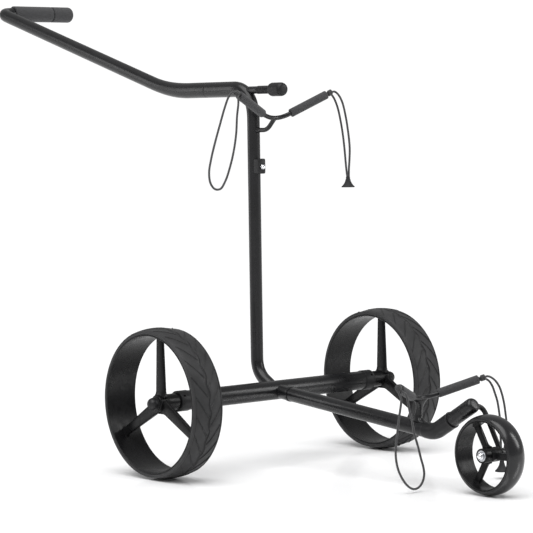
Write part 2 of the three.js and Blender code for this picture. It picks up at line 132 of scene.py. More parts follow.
TUBE_LINE = Vector((0, -math.cos(TUBE_FALL), -math.sin(TUBE_FALL)))
STEM_LINE = Vector((0, -math.cos(STEM_RISE), math.sin(STEM_RISE)))
TUBE_ORIGIN = at(0, 0, 144.5)
CROSSING = TUBE_ORIGIN + TUBE_LINE * 450 * MM
HANDLE_END = at(0, 940, 931)
UPPER_TIP = at(115.7, -35.7, 731.4)
UPPER_CROSS = at(0, -3.9, 677)
LOWER_TIP = at(104.3, -462.4, 193.5)
LOWER_CROSS = at(0, -403.2, 157.2)
TUBE_MEET = 12.6  # where the saddle post starts, above the front tube's axis
POST_HEIGHT = 42.4


def on_tube(distance):
    return TUBE_ORIGIN + TUBE_LINE * distance * MM


def on_stem(distance):
    return CROSSING + STEM_LINE * distance * MM


# ------------------------------------------------------------------ properties


class CartColours(bpy.types.PropertyGroup):
    """Base colours of the cart's finishes."""

    paint: bpy.props.FloatVectorProperty(
        name="Paint", description="Powder coat on the tubes", subtype="COLOR",
        size=3, min=0, max=1, default=(0.0065, 0.0065, 0.0072))
    moulding: bpy.props.FloatVectorProperty(
        name="Moulding", description="Moulded black plastic", subtype="COLOR",
        size=3, min=0, max=1, default=(0.0100, 0.0100, 0.0108))
    tread: bpy.props.FloatVectorProperty(
        name="Tread", description="Matte rubber of the rear tyres", subtype="COLOR",
        size=3, min=0, max=1, default=(0.0180, 0.0180, 0.0188))
    foam: bpy.props.FloatVectorProperty(
        name="Foam", description="Foam of the sleeves and the grip", subtype="COLOR",
        size=3, min=0, max=1, default=(0.0400, 0.0400, 0.0420))
    cord: bpy.props.FloatVectorProperty(
        name="Cord", description="Braided cover of the shock cords", subtype="COLOR",
        size=3, min=0, max=1, default=(0.0200, 0.0200, 0.0215))


class TreadSizes(bpy.types.PropertyGroup):
    """Sizes of the rear tyres' tread."""

    pitches: bpy.props.IntProperty(
        name="Pitches", description="Leaf-vein pitches around the tyre", default=24, min=8, max=48)
    groove_depth: bpy.props.FloatProperty(
        name="Groove depth", description="Depth of the cut veins", subtype="DISTANCE",
        unit="LENGTH", default=0.0016, min=0, max=0.003)
    groove_width: bpy.props.FloatProperty(
        name="Groove width", description="Width of the cut veins", subtype="DISTANCE",
        unit="LENGTH", default=0.0018, min=0.0005, max=0.004)
    sweep: bpy.props.FloatProperty(
        name="Sweep", description="Pitches that a vein runs on from the middle to the edge",
        default=1.35, min=0, max=4)
    weave: bpy.props.FloatProperty(
        name="Weave", description="Sideways swing of the middle vein", subtype="DISTANCE",
        unit="LENGTH", default=0.0020, min=0, max=0.006)


class CordSizes(bpy.types.PropertyGroup):
    """Sizes of the shock cords."""

    diameter: bpy.props.FloatProperty(
        name="Diameter", description="Outside diameter of the cords", subtype="DISTANCE",
        unit="LENGTH", default=0.0043, min=0.002, max=0.008)
    braid: bpy.props.FloatProperty(
        name="Braid", description="Braid crossings for each metre of cord", default=420, min=50, max=2000)


# ------------------------------------------------------------------- materials


def new_material(name, colour, roughness, metallic=0.0, specular=0.5, coat=0.0, sheen=0.0):
    """A Principled material with its plain values set on the shader's own sockets."""
    material = bpy.data.materials.new(name)
    material.use_nodes = True
    shader = material.node_tree.nodes["Principled BSDF"]
    shader.inputs["Base Color"].default_value = (*colour, 1)
    shader.inputs["Roughness"].default_value = roughness
    shader.inputs["Metallic"].default_value = metallic
    shader.inputs["Specular IOR Level"].default_value = specular
    shader.inputs["Coat Weight"].default_value = coat
    shader.inputs["Coat Roughness"].default_value = 0.18
    shader.inputs["Sheen Weight"].default_value = sheen
    shader.inputs["Sheen Roughness"].default_value = 0.6
    return material


def object_coordinates(material):
    nodes = material.node_tree.nodes
    coordinates = nodes.get("Coordinates")
    if coordinates is None:
        coordinates = nodes.new("ShaderNodeTexCoord")
        coordinates.name = "Coordinates"
    return coordinates.outputs["Object"]


def noise(material, scale, detail=3.0, stretch=(1, 1, 1), rough=0.55):
    """A noise texture's value on Object coordinates."""
    nodes, links = material.node_tree.nodes, material.node_tree.links
    mapping = nodes.new("ShaderNodeMapping")
    mapping.inputs["Scale"].default_value = stretch
    texture = nodes.new("ShaderNodeTexNoise")
    texture.inputs["Scale"].default_value = scale
    texture.inputs["Detail"].default_value = detail
    texture.inputs["Roughness"].default_value = rough
    links.new(object_coordinates(material), mapping.inputs["Vector"])
    links.new(mapping.outputs["Vector"], texture.inputs["Vector"])
    return texture.outputs["Fac"]


def ramped(material, value, low, high, start=0.3, end=0.7):
    """Maps a value between start and end to low and high."""
    nodes, links = material.node_tree.nodes, material.node_tree.links
    node = nodes.new("ShaderNodeMapRange")
    node.inputs["From Min"].default_value = start
    node.inputs["From Max"].default_value = end
    node.inputs["To Min"].default_value = low
    node.inputs["To Max"].default_value = high
    links.new(value, node.inputs["Value"])
    return node.outputs["Result"]


def vary_roughness(material, value, low, high):
    shader = material.node_tree.nodes["Principled BSDF"]
    material.node_tree.links.new(ramped(material, value, low, high), shader.inputs["Roughness"])


def vary_colour(material, value, dark, light, start=0.3, end=0.7):
    nodes, links = material.node_tree.nodes, material.node_tree.links
    ramp = nodes.new("ShaderNodeValToRGB")
    ramp.color_ramp.elements[0].position = start
    ramp.color_ramp.elements[1].position = end
    ramp.color_ramp.elements[0].color = (*dark, 1)
    ramp.color_ramp.elements[1].color = (*light, 1)
    links.new(value, ramp.inputs["Fac"])
    links.new(ramp.outputs["Color"], nodes["Principled BSDF"].inputs["Base Color"])


def bump(material, value, distance, strength=1.0):
    """Adds a bump, on top of any bump that is there already."""
    nodes, links = material.node_tree.nodes, material.node_tree.links
    shader = nodes["Principled BSDF"]
    node = nodes.new("ShaderNodeBump")
    node.inputs["Strength"].default_value = strength
    node.inputs["Distance"].default_value = distance
    links.new(value, node.inputs["Height"])
    if shader.inputs["Normal"].is_linked:
        links.new(shader.inputs["Normal"].links[0].from_socket, node.inputs["Normal"])
    links.new(node.outputs["Normal"], shader.inputs["Normal"])


def shade(colour, factor):
    return tuple(channel * factor for channel in colour)


def powder_coat(colour):
    """Satin black powder coat: fine orange peel and a slow change of gloss."""
    material = new_material("powder_coat", colour, 0.28, specular=0.27, coat=0.12)
    vary_colour(material, noise(material, 26, 4), shade(colour, 0.8), shade(colour, 1.35))
    vary_roughness(material, noise(material, 60, 5), 0.24, 0.33)
    bump(material, noise(material, 700, 2), 0.00002, 0.22)
    bump(material, noise(material, 1900, 2), 0.00001, 0.18)
    return material


def fine_moulding(name, colour, roughness=0.42, grain=2300, specular=0.25):
    """Moulded plastic with a fine eroded grain."""
    material = new_material(name, colour, roughness, specular=specular)
    vary_colour(material, noise(material, 40, 4), shade(colour, 0.82), shade(colour, 1.3))
    vary_roughness(material, noise(material, 90, 4), roughness - 0.06, roughness + 0.07)
    bump(material, noise(material, grain, 3), 0.00003, 0.3)
    return material


def tread_rubber(colour):
    """Matte rubber with a mould's dullness, scuffs and fine pores."""
    material = new_material("tread_rubber", colour, 0.5, specular=0.28, sheen=0.03)
    vary_colour(material, noise(material, 32, 5), shade(colour, 0.75), shade(colour, 1.35))
    vary_roughness(material, noise(material, 110, 5), 0.42, 0.58)
    bump(material, noise(material, 1500, 3), 0.00004, 0.3)
    return material


def gloss_rubber(colour):
    """Smooth solid tyre with a polished skin."""
    material = new_material("gloss_rubber", colour, 0.2, specular=0.36, coat=0.1)
    vary_colour(material, noise(material, 30, 4), shade(colour, 0.8), shade(colour, 1.3))
    vary_roughness(material, noise(material, 70, 5), 0.16, 0.26)
    bump(material, noise(material, 420, 3), 0.00002, 0.15)
    return material


def foam_rubber(colour):
    """Closed-cell foam: small open cells in the skin and a soft dull sheen."""
    material = new_material("foam_rubber", colour, 0.9, specular=0.2, sheen=0.12)
    nodes, links = material.node_tree.nodes, material.node_tree.links
    cells = nodes.new("ShaderNodeTexVoronoi")
    cells.inputs["Scale"].default_value = 1100
    links.new(object_coordinates(material), cells.inputs["Vector"])
    vary_colour(material, noise(material, 500, 4), shade(colour, 0.6), shade(colour, 1.35))
    bump(material, cells.outputs["Distance"], 0.00035, 0.5)
    bump(material, noise(material, 1400, 3), 0.00018, 0.45)
    return material


def braided_cord(colour, crossings):
    """A braided cover: two sets of strands that cross, on the cord's own UV map, with painted shade in the
    gaps between strands and a painted highlight on their crests.
    """
    material = new_material("braided_cord", colour, 0.68, specular=0.35, sheen=0.25)
    nodes, links = material.node_tree.nodes, material.node_tree.links
    uv = nodes.new("ShaderNodeUVMap")
    uv.uv_map = "along"
    split = nodes.new("ShaderNodeSeparateXYZ")
    links.new(uv.outputs["UV"], split.inputs["Vector"])

    def calculated(operation, *values):
        node = nodes.new("ShaderNodeMath")
        node.operation = operation
        for socket, value in zip(node.inputs, values):
            if isinstance(value, (int, float)):
                socket.default_value = value
            else:
                links.new(value, socket)
        return node.outputs[0]

    def strands(turns):
        along = calculated("MULTIPLY", split.outputs["X"], crossings)
        turned_on = calculated("MULTIPLY_ADD", split.outputs["Y"], turns, along)
        return calculated("PINGPONG", turned_on, 0.5)

    strand_height_and_painted_light = calculated("MAXIMUM", strands(BRAID_STRANDS), strands(-BRAID_STRANDS))
    # Painted shade and painted highlight: the colour darkens where the strands sink and lightens on their
    # raised crests, following the bump's pattern.
    vary_colour(material, strand_height_and_painted_light, shade(colour, 0.45), shade(colour, 1.8), 0.2, 0.5)
    bump(material, strand_height_and_painted_light, 0.0006, 0.7)
    return material


def bright_metal(name, colour, roughness, stretch):
    """Plated or turned metal with fine marks from its making."""
    material = new_material(name, colour, roughness, metallic=1.0)
    marks = noise(material, 900, 4, stretch)
    vary_roughness(material, marks, roughness * 0.75, roughness * 1.4)
    bump(material, marks, 0.00003, 0.25)
    return material


MATERIALS = {}


def make_materials(colours):
    MATERIALS["paint"] = powder_coat(tuple(colours.paint))
    MATERIALS["moulding"] = fine_moulding("fine_moulding", tuple(colours.moulding))
    MATERIALS["casting"] = fine_moulding("satin_casting", shade(tuple(colours.paint), 1.25), 0.36, 1500)
    MATERIALS["rim"] = fine_moulding("rim_moulding", shade(tuple(colours.moulding), 0.55), 0.27, 1800, 0.14)
    MATERIALS["tread"] = tread_rubber(tuple(colours.tread))
    MATERIALS["front_tyre"] = gloss_rubber(shade(tuple(colours.paint), 1.1))
    MATERIALS["foam"] = foam_rubber(tuple(colours.foam))
    MATERIALS["rubber"] = fine_moulding("hook_rubber", shade(tuple(colours.moulding), 1.5), 0.6, 900)
    MATERIALS["chrome"] = bright_metal("chrome_plate", (0.78, 0.79, 0.81), 0.12, (1, 1, 1))
    MATERIALS["steel"] = bright_metal("turned_steel", (0.5, 0.51, 0.53), 0.3, (1, 6, 6))


# --------------------------------------------------------------- mesh builders


def placed(name, data):
    """A new object in the scene."""
    obj = bpy.data.objects.new(name, data)
    bpy.context.scene.collection.objects.link(obj)
    return obj


def signed_volume(verts, faces):
    total = 0.0
    for face in faces:
        first = verts[face[0]]
        for i in range(1, len(face) - 1):
            total += first.dot(verts[face[i]].cross(verts[face[i + 1]]))
    return total


def mesh_of(name, shells, outwards=True):
    """A mesh from shells, each turned so that its faces look outwards."""
    verts, faces = [], []
    for shell_verts, shell_faces in shells:
        if outwards and signed_volume(shell_verts, shell_faces) < 0:
            shell_faces = [tuple(reversed(face)) for face in shell_faces]
        start = len(verts)
        verts.extend(tuple(v) for v in shell_verts)
        faces.extend(tuple(i + start for i in face) for face in shell_faces)
    mesh = bpy.data.meshes.new(name)
    mesh.from_pydata(verts, [], faces)
    return mesh


def applied(obj, modifier):
    """The plain mesh that an object's modifier makes; the object itself goes."""
    name = obj.name
    bpy.context.view_layer.update()
    evaluated = obj.evaluated_get(bpy.context.evaluated_depsgraph_get())
    mesh = bpy.data.meshes.new_from_object(evaluated)
    obj.modifiers.remove(modifier)
    bpy.data.objects.remove(obj)
    if len(mesh.polygons) == 0:
        raise RuntimeError(f"{name}: the modifier left no faces")
    return mesh


def piece(name, shells, material, body, nodes=(), sharp=32, uv=None):
    """One object from closed shells, smooth but for its sharp edges, riding on a body."""
    mesh = mesh_of(name, shells)
    mesh.update()
    if uv is not None:
        layer = mesh.uv_layers.new(name="along")
        for polygon in mesh.polygons:
            corners = [uv[mesh.loops[loop].vertex_index] for loop in polygon.loop_indices]
            turns = [corner[1] for corner in corners]
            wrapped = max(turns) - min(turns) > 0.5
            for loop, (along, turn) in zip(polygon.loop_indices, corners):
                layer.data[loop].uv = (along, turn + 1 if wrapped and turn < 0.5 else turn)
    mesh.polygons.foreach_set("use_smooth", [True] * len(mesh.polygons))
    mesh.set_sharp_from_angle(angle=math.radians(sharp))
    mesh.materials.append(MATERIALS[material])
    obj = placed(name, mesh)
    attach(obj, body)
    if nodes:
        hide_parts(*nodes)
    return obj


def rounded(profile, sizes, steps=4):
    """Rounds a profile's inner corners; sizes is one cut or a list with one for each corner."""
    if not hasattr(sizes, "__len__"):
        sizes = [sizes] * (len(profile) - 2)
    result = [Vector(profile[0])]
    for i in range(1, len(profile) - 1):
        corner = Vector(profile[i])
        back = Vector(profile[i - 1]) - corner
        on = Vector(profile[i + 1]) - corner
        size = min(sizes[i - 1], back.length * 0.49, on.length * 0.49)
        if size < 1e-6:
            result.append(corner)
            continue
        start, end = corner + back.normalized() * size, corner + on.normalized() * size
        for k in range(steps + 1):
            t = k / steps
            result.append(start * (1 - t) ** 2 + corner * 2 * t * (1 - t) + end * t * t)
    result.append(Vector(profile[-1]))
    return [tuple(p) for p in result]


def turned(profile, start, direction, segments=96):
    """A shell turned about a line from (along, radius) pairs in millimetres.

    The profile runs from axis to axis, or closes on itself.
    """
    turn = Vector((1, 0, 0)).rotation_difference(direction.normalized())
    closed = (Vector(profile[0]) - Vector(profile[-1])).length < 1e-9
    rows = profile[:-1] if closed else profile
    verts, indices = [], []
    for along, radius in rows:
        if radius < 1e-6:
            indices.append([len(verts)] * segments)
            verts.append(start + turn @ Vector((along * MM, 0, 0)))
            continue
        indices.append(list(range(len(verts), len(verts) + segments)))
        for k in range(segments):
            angle = 2 * math.pi * k / segments
            offset = Vector((along, radius * math.cos(angle), radius * math.sin(angle))) * MM
            verts.append(start + turn @ offset)
    faces = []
    pairs = list(zip(indices, indices[1:]))
    if closed:
        pairs.append((indices[-1], indices[0]))
    for lower, upper in pairs:
        for k in range(segments):
            n = (k + 1) % segments
            face = []
            for index in (lower[k], lower[n], upper[n], upper[k]):
                if index not in face:
                    face.append(index)
            if len(face) > 2:
                faces.append(tuple(face))
    return verts, faces


def plain_rod(radius, low, high, start, direction, segments):
    """A square-ended rod along a direction, from low to high in millimetres past its start."""
    return turned([(low, 0), (low, radius), (high, radius), (high, 0)], start, direction, segments)


def ring_profile(inner, outer, start, end):
    return [(start, inner), (start, outer), (end, outer), (end, inner), (start, inner)]


def rounded_ring(inner, outer, start, end, size):
    """A ring's closed profile with its outer corners rounded."""
    return rounded(ring_profile(inner, outer, start, end), [size, size, 0.0])


def bent(corners, cuts, step=4 * MM):
    """Points along straight legs with rounded corners, spaced by about one step."""
    raw = [corners[0]]
    for i in range(1, len(corners) - 1):
        corner = corners[i]
        start = corner + (corners[i - 1] - corner).normalized() * cuts[i - 1] * MM
        end = corner + (corners[i + 1] - corner).normalized() * cuts[i - 1] * MM
        for k in range(25):
            t = k / 24
            raw.append(start * (1 - t) ** 2 + corner * 2 * t * (1 - t) + end * t * t)
    raw.append(corners[-1])
    return spaced(raw, step)


def spaced(raw, step):
    lengths = [0.0]
    for a, b in zip(raw, raw[1:]):
        lengths.append(lengths[-1] + (b - a).length)
    count = max(2, round(lengths[-1] / step))
    points, segment = [], 0
    for k in range(count + 1):
        goal = lengths[-1] * k / count
        while segment < len(raw) - 2 and lengths[segment + 1] < goal:
            segment += 1
        span = max(lengths[segment + 1] - lengths[segment], 1e-12)
        points.append(raw[segment].lerp(raw[segment + 1], min(1, (goal - lengths[segment]) / span)))
    return points


def smooth_step(t):
    t = min(1.0, max(0.0, t))
    return t * t * (3 - 2 * t)


def radius_along(points, stops):
    """Radii in millimetres for points, eased between (distance, radius) stops in millimetres."""
    radii, distance = [], 0.0
    for i, point in enumerate(points):
        if i:
            distance += (point - points[i - 1]).length / MM
        radius = stops[-1][1]
        for (d0, r0), (d1, r1) in zip(stops, stops[1:]):
            if distance <= d1:
                radius = r0 + (r1 - r0) * smooth_step((distance - d0) / max(d1 - d0, 1e-9))
                break
        radii.append(radius)
    return radii


def swept(points, radii, sides=32, ends=(1.0, 1.0)):
    """A shell swept along points, with ends rounded by the given cuts in millimetres.

    Returns the shell and, for each vertex, its place along in metres and its turn from 0 to 1.
    """
    if not hasattr(radii, "__len__"):
        radii = [radii] * len(points)
    tangents = []
    for i in range(len(points)):
        a, b = points[max(0, i - 1)], points[min(len(points) - 1, i + 1)]
        tangents.append((b - a).normalized())
    helper = ALONG_Z if abs(tangents[0].z) < 0.9 else ALONG_X
    normal = tangents[0].cross(helper).normalized()
    normals = [normal]
    for i in range(1, len(points)):
        normal = tangents[i - 1].rotation_difference(tangents[i]) @ normals[-1]
        normal = (normal - tangents[i] * normal.dot(tangents[i])).normalized()
        normals.append(normal)

    rings = []  # centre, normal, tangent, radius in millimetres, distance
    distance = 0.0
    for i, point in enumerate(points):
        if i:
            distance += (point - points[i - 1]).length
        rings.append((point, normals[i], tangents[i], radii[i], distance))

    def capped(ring, sign, cut):
        centre, ring_normal, tangent, radius, place = ring
        cut = min(cut, radius * 0.98)
        extra = []
        for k in range(1, 5):
            angle = k / 4 * math.pi / 2
            inset, rise = cut * (1 - math.cos(angle)), cut * math.sin(angle)
            extra.append((centre + tangent * sign * (rise - cut) * MM, ring_normal, tangent,
                          radius - inset, place))
        moved = (centre - tangent * sign * cut * MM, ring_normal, tangent, radius, place)
        return moved, extra

    first, first_extra = capped(rings[0], -1, ends[0])
    last, last_extra = capped(rings[-1], 1, ends[1])
    keep = [r for r in rings[1:-1]
            if (r[0] - rings[0][0]).length > ends[0] * MM * 1.05
            and (r[0] - rings[-1][0]).length > ends[1] * MM * 1.05]
    rings = list(reversed(first_extra)) + [first] + keep + [last] + last_extra

    verts, places = [], []
    for centre, ring_normal, tangent, radius, place in rings:
        side_axis = tangent.cross(ring_normal)
        for k in range(sides):
            angle = 2 * math.pi * k / sides
            offset = ring_normal * math.cos(angle) + side_axis * math.sin(angle)
            verts.append(centre + offset * radius * MM)
            places.append((place, k / sides))
    faces = []
    for row in range(len(rings) - 1):
        for k in range(sides):
            n = (k + 1) % sides
            faces.append((row * sides + k, row * sides + n,
                          (row + 1) * sides + n, (row + 1) * sides + k))
    for row, sign in ((0, -1), (len(rings) - 1, 1)):
        centre, ring_normal, tangent, radius, place = rings[row]
        verts.append(centre)
        places.append((place, 0.5))
        tip = len(verts) - 1
        for k in range(sides):
            n = (k + 1) % sides
            triangle = (row * sides + n, row * sides + k, tip)
            faces.append(triangle if sign < 0 else tuple(reversed(triangle)))
    return (verts, faces), places


def sweep(points, radii, sides=32, ends=(1.0, 1.0)):
    """The shell alone."""
    return swept(points, radii, sides, ends)[0]


def lofted(sections):
    """A shell through closed sections that all have the same number of points."""
    count = len(sections[0])
    verts = [point for section in sections for point in section]
    faces = []
    for row in range(len(sections) - 1):
        for k in range(count):
            n = (k + 1) % count
            faces.append((row * count + k, row * count + n,
                          (row + 1) * count + n, (row + 1) * count + k))
    faces.append(tuple(reversed(range(count))))
    faces.append(tuple((len(sections) - 1) * count + k for k in range(count)))
    return verts, faces


def squared(angle, power):
    """A point on a rounded square of half side 1, at an angle."""
    c, s = math.cos(angle), math.sin(angle)
    return math.copysign(abs(c) ** (2 / power), c), math.copysign(abs(s) ** (2 / power), s)


def super_ellipse(centre, u, v, half_u, half_v, power, count):
    points = []
    for k in range(count):
        x, y = squared(2 * math.pi * k / count, power)
        points.append(centre + u * x * half_u * MM + v * y * half_v * MM)
    return points


# ------------------------------------------------------------- geometry nodes


def node_group(name, sockets):
    """An empty geometry node tree with the named inputs after its geometry."""
    tree = bpy.data.node_groups.new(name, "GeometryNodeTree")
    tree.interface.new_socket("Geometry", in_out="INPUT", socket_type="NodeSocketGeometry")
    tree.interface.new_socket("Geometry", in_out="OUTPUT", socket_type="NodeSocketGeometry")
    for label, kind in sockets:
        tree.interface.new_socket(label, in_out="INPUT", socket_type=kind)
    return tree, tree.nodes.new("NodeGroupInput"), tree.nodes.new("NodeGroupOutput")


def repeat_tree():
    """Copies a piece round the X axis of the object's own frame."""
    tree, start, end = node_group("Repeat round", [
        ("Count", "NodeSocketInt"), ("Weld", "NodeSocketFloat"), ("Material", "NodeSocketMaterial")])
    nodes, links = tree.nodes, tree.links
    whole = nodes.new("GeometryNodeGeometryToInstance")
    copies = nodes.new("GeometryNodeDuplicateElements")
    copies.domain = "INSTANCE"
    share = nodes.new("ShaderNodeMath")
    share.operation = "DIVIDE"
    share.inputs[0].default_value = 2 * math.pi
    angle = nodes.new("ShaderNodeMath")
    angle.operation = "MULTIPLY"
    turn = nodes.new("ShaderNodeCombineXYZ")
    rotate = nodes.new("GeometryNodeRotateInstances")
    real = nodes.new("GeometryNodeRealizeInstances")
    weld = nodes.new("GeometryNodeMergeByDistance")
    finish = nodes.new("GeometryNodeSetMaterial")
    links.new(start.outputs["Geometry"], whole.inputs["Geometry"])
    links.new(whole.outputs["Instances"], copies.inputs["Geometry"])
    links.new(start.outputs["Count"], copies.inputs["Amount"])
    links.new(start.outputs["Count"], share.inputs[1])
    links.new(copies.outputs["Duplicate Index"], angle.inputs[0])
    links.new(share.outputs[0], angle.inputs[1])
    links.new(angle.outputs[0], turn.inputs["X"])
    links.new(copies.outputs["Geometry"], rotate.inputs["Instances"])
    links.new(turn.outputs["Vector"], rotate.inputs["Rotation"])
    links.new(rotate.outputs["Instances"], real.inputs["Geometry"])
    links.new(real.outputs["Geometry"], weld.inputs["Geometry"])
    links.new(start.outputs["Weld"], weld.inputs["Distance"])
    links.new(weld.outputs["Geometry"], finish.inputs["Geometry"])
    links.new(start.outputs["Material"], finish.inputs["Material"])
    links.new(finish.outputs["Geometry"], end.inputs["Geometry"])
    return tree


def helix_tree():
    """A ridge or cord wound in a helix along the Z axis of the object's own frame."""
    tree, start, end = node_group("Helix", [
        ("Turns", "NodeSocketFloat"), ("Radius", "NodeSocketFloat"), ("Height", "NodeSocketFloat"),
        ("Thickness", "NodeSocketFloat"), ("Sides", "NodeSocketInt"), ("Steps", "NodeSocketInt"),
        ("Material", "NodeSocketMaterial")])
    nodes, links = tree.nodes, tree.links
    spiral = nodes.new("GeometryNodeCurveSpiral")
    section = nodes.new("GeometryNodeCurvePrimitiveCircle")
    solid = nodes.new("GeometryNodeCurveToMesh")
    solid.inputs["Fill Caps"].default_value = True
    real = nodes.new("GeometryNodeRealizeInstances")
    finish = nodes.new("GeometryNodeSetMaterial")
    links.new(start.outputs["Steps"], spiral.inputs["Resolution"])
    links.new(start.outputs["Turns"], spiral.inputs["Rotations"])
    links.new(start.outputs["Radius"], spiral.inputs["Start Radius"])
    links.new(start.outputs["Radius"], spiral.inputs["End Radius"])
    links.new(start.outputs["Height"], spiral.inputs["Height"])
    links.new(start.outputs["Sides"], section.inputs["Resolution"])
    links.new(start.outputs["Thickness"], section.inputs["Radius"])
    links.new(spiral.outputs["Curve"], solid.inputs["Curve"])
    links.new(section.outputs["Curve"], solid.inputs["Profile Curve"])
    links.new(solid.outputs["Mesh"], real.inputs["Geometry"])
    links.new(real.outputs["Geometry"], finish.inputs["Geometry"])
    links.new(start.outputs["Material"], finish.inputs["Material"])
    links.new(finish.outputs["Geometry"], end.inputs["Geometry"])
    return tree


TREES = {}


def grown(name, tree_name, shells, values):
    """Runs a node tree on shells made in the tree's own frame and returns a plain mesh."""
    if tree_name not in TREES:
        TREES[tree_name] = {"repeat": repeat_tree, "helix": helix_tree}[tree_name]()
    tree = TREES[tree_name]
    holder = placed(name + "_seed", mesh_of(name + "_seed", shells, outwards=False))
    modifier = holder.modifiers.new("Nodes", "NODES")
    modifier.node_group = tree
    for item in tree.interface.items_tree:
        if item.in_out == "INPUT" and item.name in values:
            modifier[item.identifier] = values[item.name]
    holder.update_tag()
    mesh = applied(holder, modifier)
    mesh.name = name
    return mesh


def mesh_shell(mesh, move):
    """A mesh's vertices moved by a matrix, and its faces, as a shell."""
    verts = [move @ vertex.co for vertex in mesh.vertices]
    faces = [tuple(polygon.vertices) for polygon in mesh.polygons]
    bpy.data.meshes.remove(mesh)
    return verts, faces


def carved(shell, cutters):
    """A shell less some other shells, by an exact boolean."""
    body = placed("carved", mesh_of("carved", [shell]))
    tool = placed("cutter", mesh_of("cutter", cutters))
    modifier = body.modifiers.new("Cut", "BOOLEAN")
    modifier.operation = "DIFFERENCE"
    modifier.solver = "EXACT"
    modifier.object = tool
    mesh = applied(body, modifier)
    bpy.data.objects.remove(tool)
    return mesh_shell(mesh, Matrix.Identity(4))


# ----------------------------------------------------------- camera, light values

CAMERA_PLACE = Vector((-3.0196, -3.5097, 0.6859))  # from the ground below the axle
CAMERA_YAW = -0.7071
CAMERA_PITCH = 0.0635
CAMERA_ROLL = -0.015
CAMERA_LENS = 157.95
WORLD_LIGHT = 0.42  # how strongly the surroundings light the cart
WORLD_SEEN = 1.05  # how bright the camera sees them
FLOOR_SHINE = 0.3
FLOOR_HALF = 60


def build_camera():
    data = bpy.data.cameras.new("Camera")
    data.lens = CAMERA_LENS
    data.sensor_width = 36
    data.clip_start = 0.1
    camera = placed("Camera", data)
    back = Vector((math.sin(CAMERA_YAW) * math.cos(CAMERA_PITCH),
                   -math.cos(CAMERA_YAW) * math.cos(CAMERA_PITCH), math.sin(CAMERA_PITCH)))
    right = (-back).cross(ALONG_Z).normalized()
    up = right.cross(-back)
    x_axis = right * math.cos(CAMERA_ROLL) + up * math.sin(CAMERA_ROLL)
    y_axis = up * math.cos(CAMERA_ROLL) - right * math.sin(CAMERA_ROLL)
    turn = Matrix((x_axis, y_axis, back)).transposed().to_4x4()
    camera.matrix_world = Matrix.Translation(ORIGIN + CAMERA_PLACE) @ turn
    bpy.context.scene.camera = camera


# ----------------------------------------------------------------------- cords

# Routes are metres from the ground below the axle's middle.
UPPER_LEFT_ROUTE = [
    (-0.131, -0.036, 0.736), (-0.139, -0.034, 0.727), (-0.147, -0.031, 0.706), (-0.157, -0.029, 0.676),
    (-0.169, -0.028, 0.642), (-0.181, -0.029, 0.608), (-0.189, -0.032, 0.582), (-0.189, -0.036, 0.562),
    (-0.181, -0.039, 0.551), (-0.169, -0.041, 0.551), (-0.157, -0.042, 0.566), (-0.146, -0.043, 0.592),
    (-0.137, -0.044, 0.622), (-0.130, -0.044, 0.656), (-0.127, -0.044, 0.690), (-0.124, -0.045, 0.716),
    (-0.123, -0.043, 0.726)]
UPPER_RIGHT_OUTER_ROUTE = [
    (0.131, -0.040, 0.736), (0.140, -0.041, 0.730), (0.149, -0.042, 0.716), (0.157, -0.042, 0.692),
    (0.165, -0.041, 0.658), (0.170, -0.040, 0.624), (0.170, -0.039, 0.600), (0.169, -0.038, 0.580),
    (0.1685, -0.038, 0.5665)]
UPPER_RIGHT_INNER_ROUTE = [
    (0.129, -0.033, 0.730), (0.137, -0.032, 0.722), (0.146, -0.032, 0.704), (0.153, -0.033, 0.676),
    (0.158, -0.034, 0.646), (0.161, -0.035, 0.616), (0.1625, -0.036, 0.592), (0.1635, -0.037, 0.576),
    (0.164, -0.038, 0.5665)]
LOWER_LEFT_ROUTE = [
    (-0.110, -0.468, 0.185), (-0.105, -0.467, 0.178), (-0.103, -0.466, 0.1695), (-0.108, -0.466, 0.144),
    (-0.113, -0.466, 0.1165), (-0.117, -0.466, 0.0925), (-0.118, -0.466, 0.0717),
    (-0.1137, -0.466, 0.0503), (-0.1044, -0.466, 0.0318), (-0.0914, -0.466, 0.0163),
    (-0.0758, -0.466, 0.007), (-0.0624, -0.466, 0.0077), (-0.0525, -0.466, 0.0154),
    (-0.047, -0.466, 0.0289), (-0.0485, -0.466, 0.0432), (-0.0543, -0.466, 0.0597),
    (-0.0624, -0.466, 0.0851), (-0.0718, -0.466, 0.1106), (-0.0775, -0.467, 0.134),
    (-0.0844, -0.468, 0.1521), (-0.0913, -0.470, 0.1737), (-0.0975, -0.471, 0.184),
    (-0.102, -0.471, 0.186)]
LOWER_RIGHT_OUTER_ROUTE = [
    (0.118, -0.4685, 0.1975), (0.127, -0.469, 0.195), (0.1395, -0.469, 0.187), (0.1495, -0.469, 0.1755),
    (0.157, -0.468, 0.162), (0.163, -0.468, 0.143), (0.168, -0.467, 0.122), (0.1705, -0.467, 0.104),
    (0.170, -0.467, 0.084), (0.166, -0.466, 0.060), (0.1605, -0.466, 0.036)]
LOWER_RIGHT_INNER_ROUTE = [
    (0.118, -0.4635, 0.1925), (0.1285, -0.463, 0.187), (0.137, -0.463, 0.177), (0.1435, -0.463, 0.1635),
    (0.149, -0.464, 0.148), (0.153, -0.464, 0.130), (0.1555, -0.465, 0.108), (0.156, -0.465, 0.080),
    (0.156, -0.466, 0.055), (0.1558, -0.466, 0.036)]


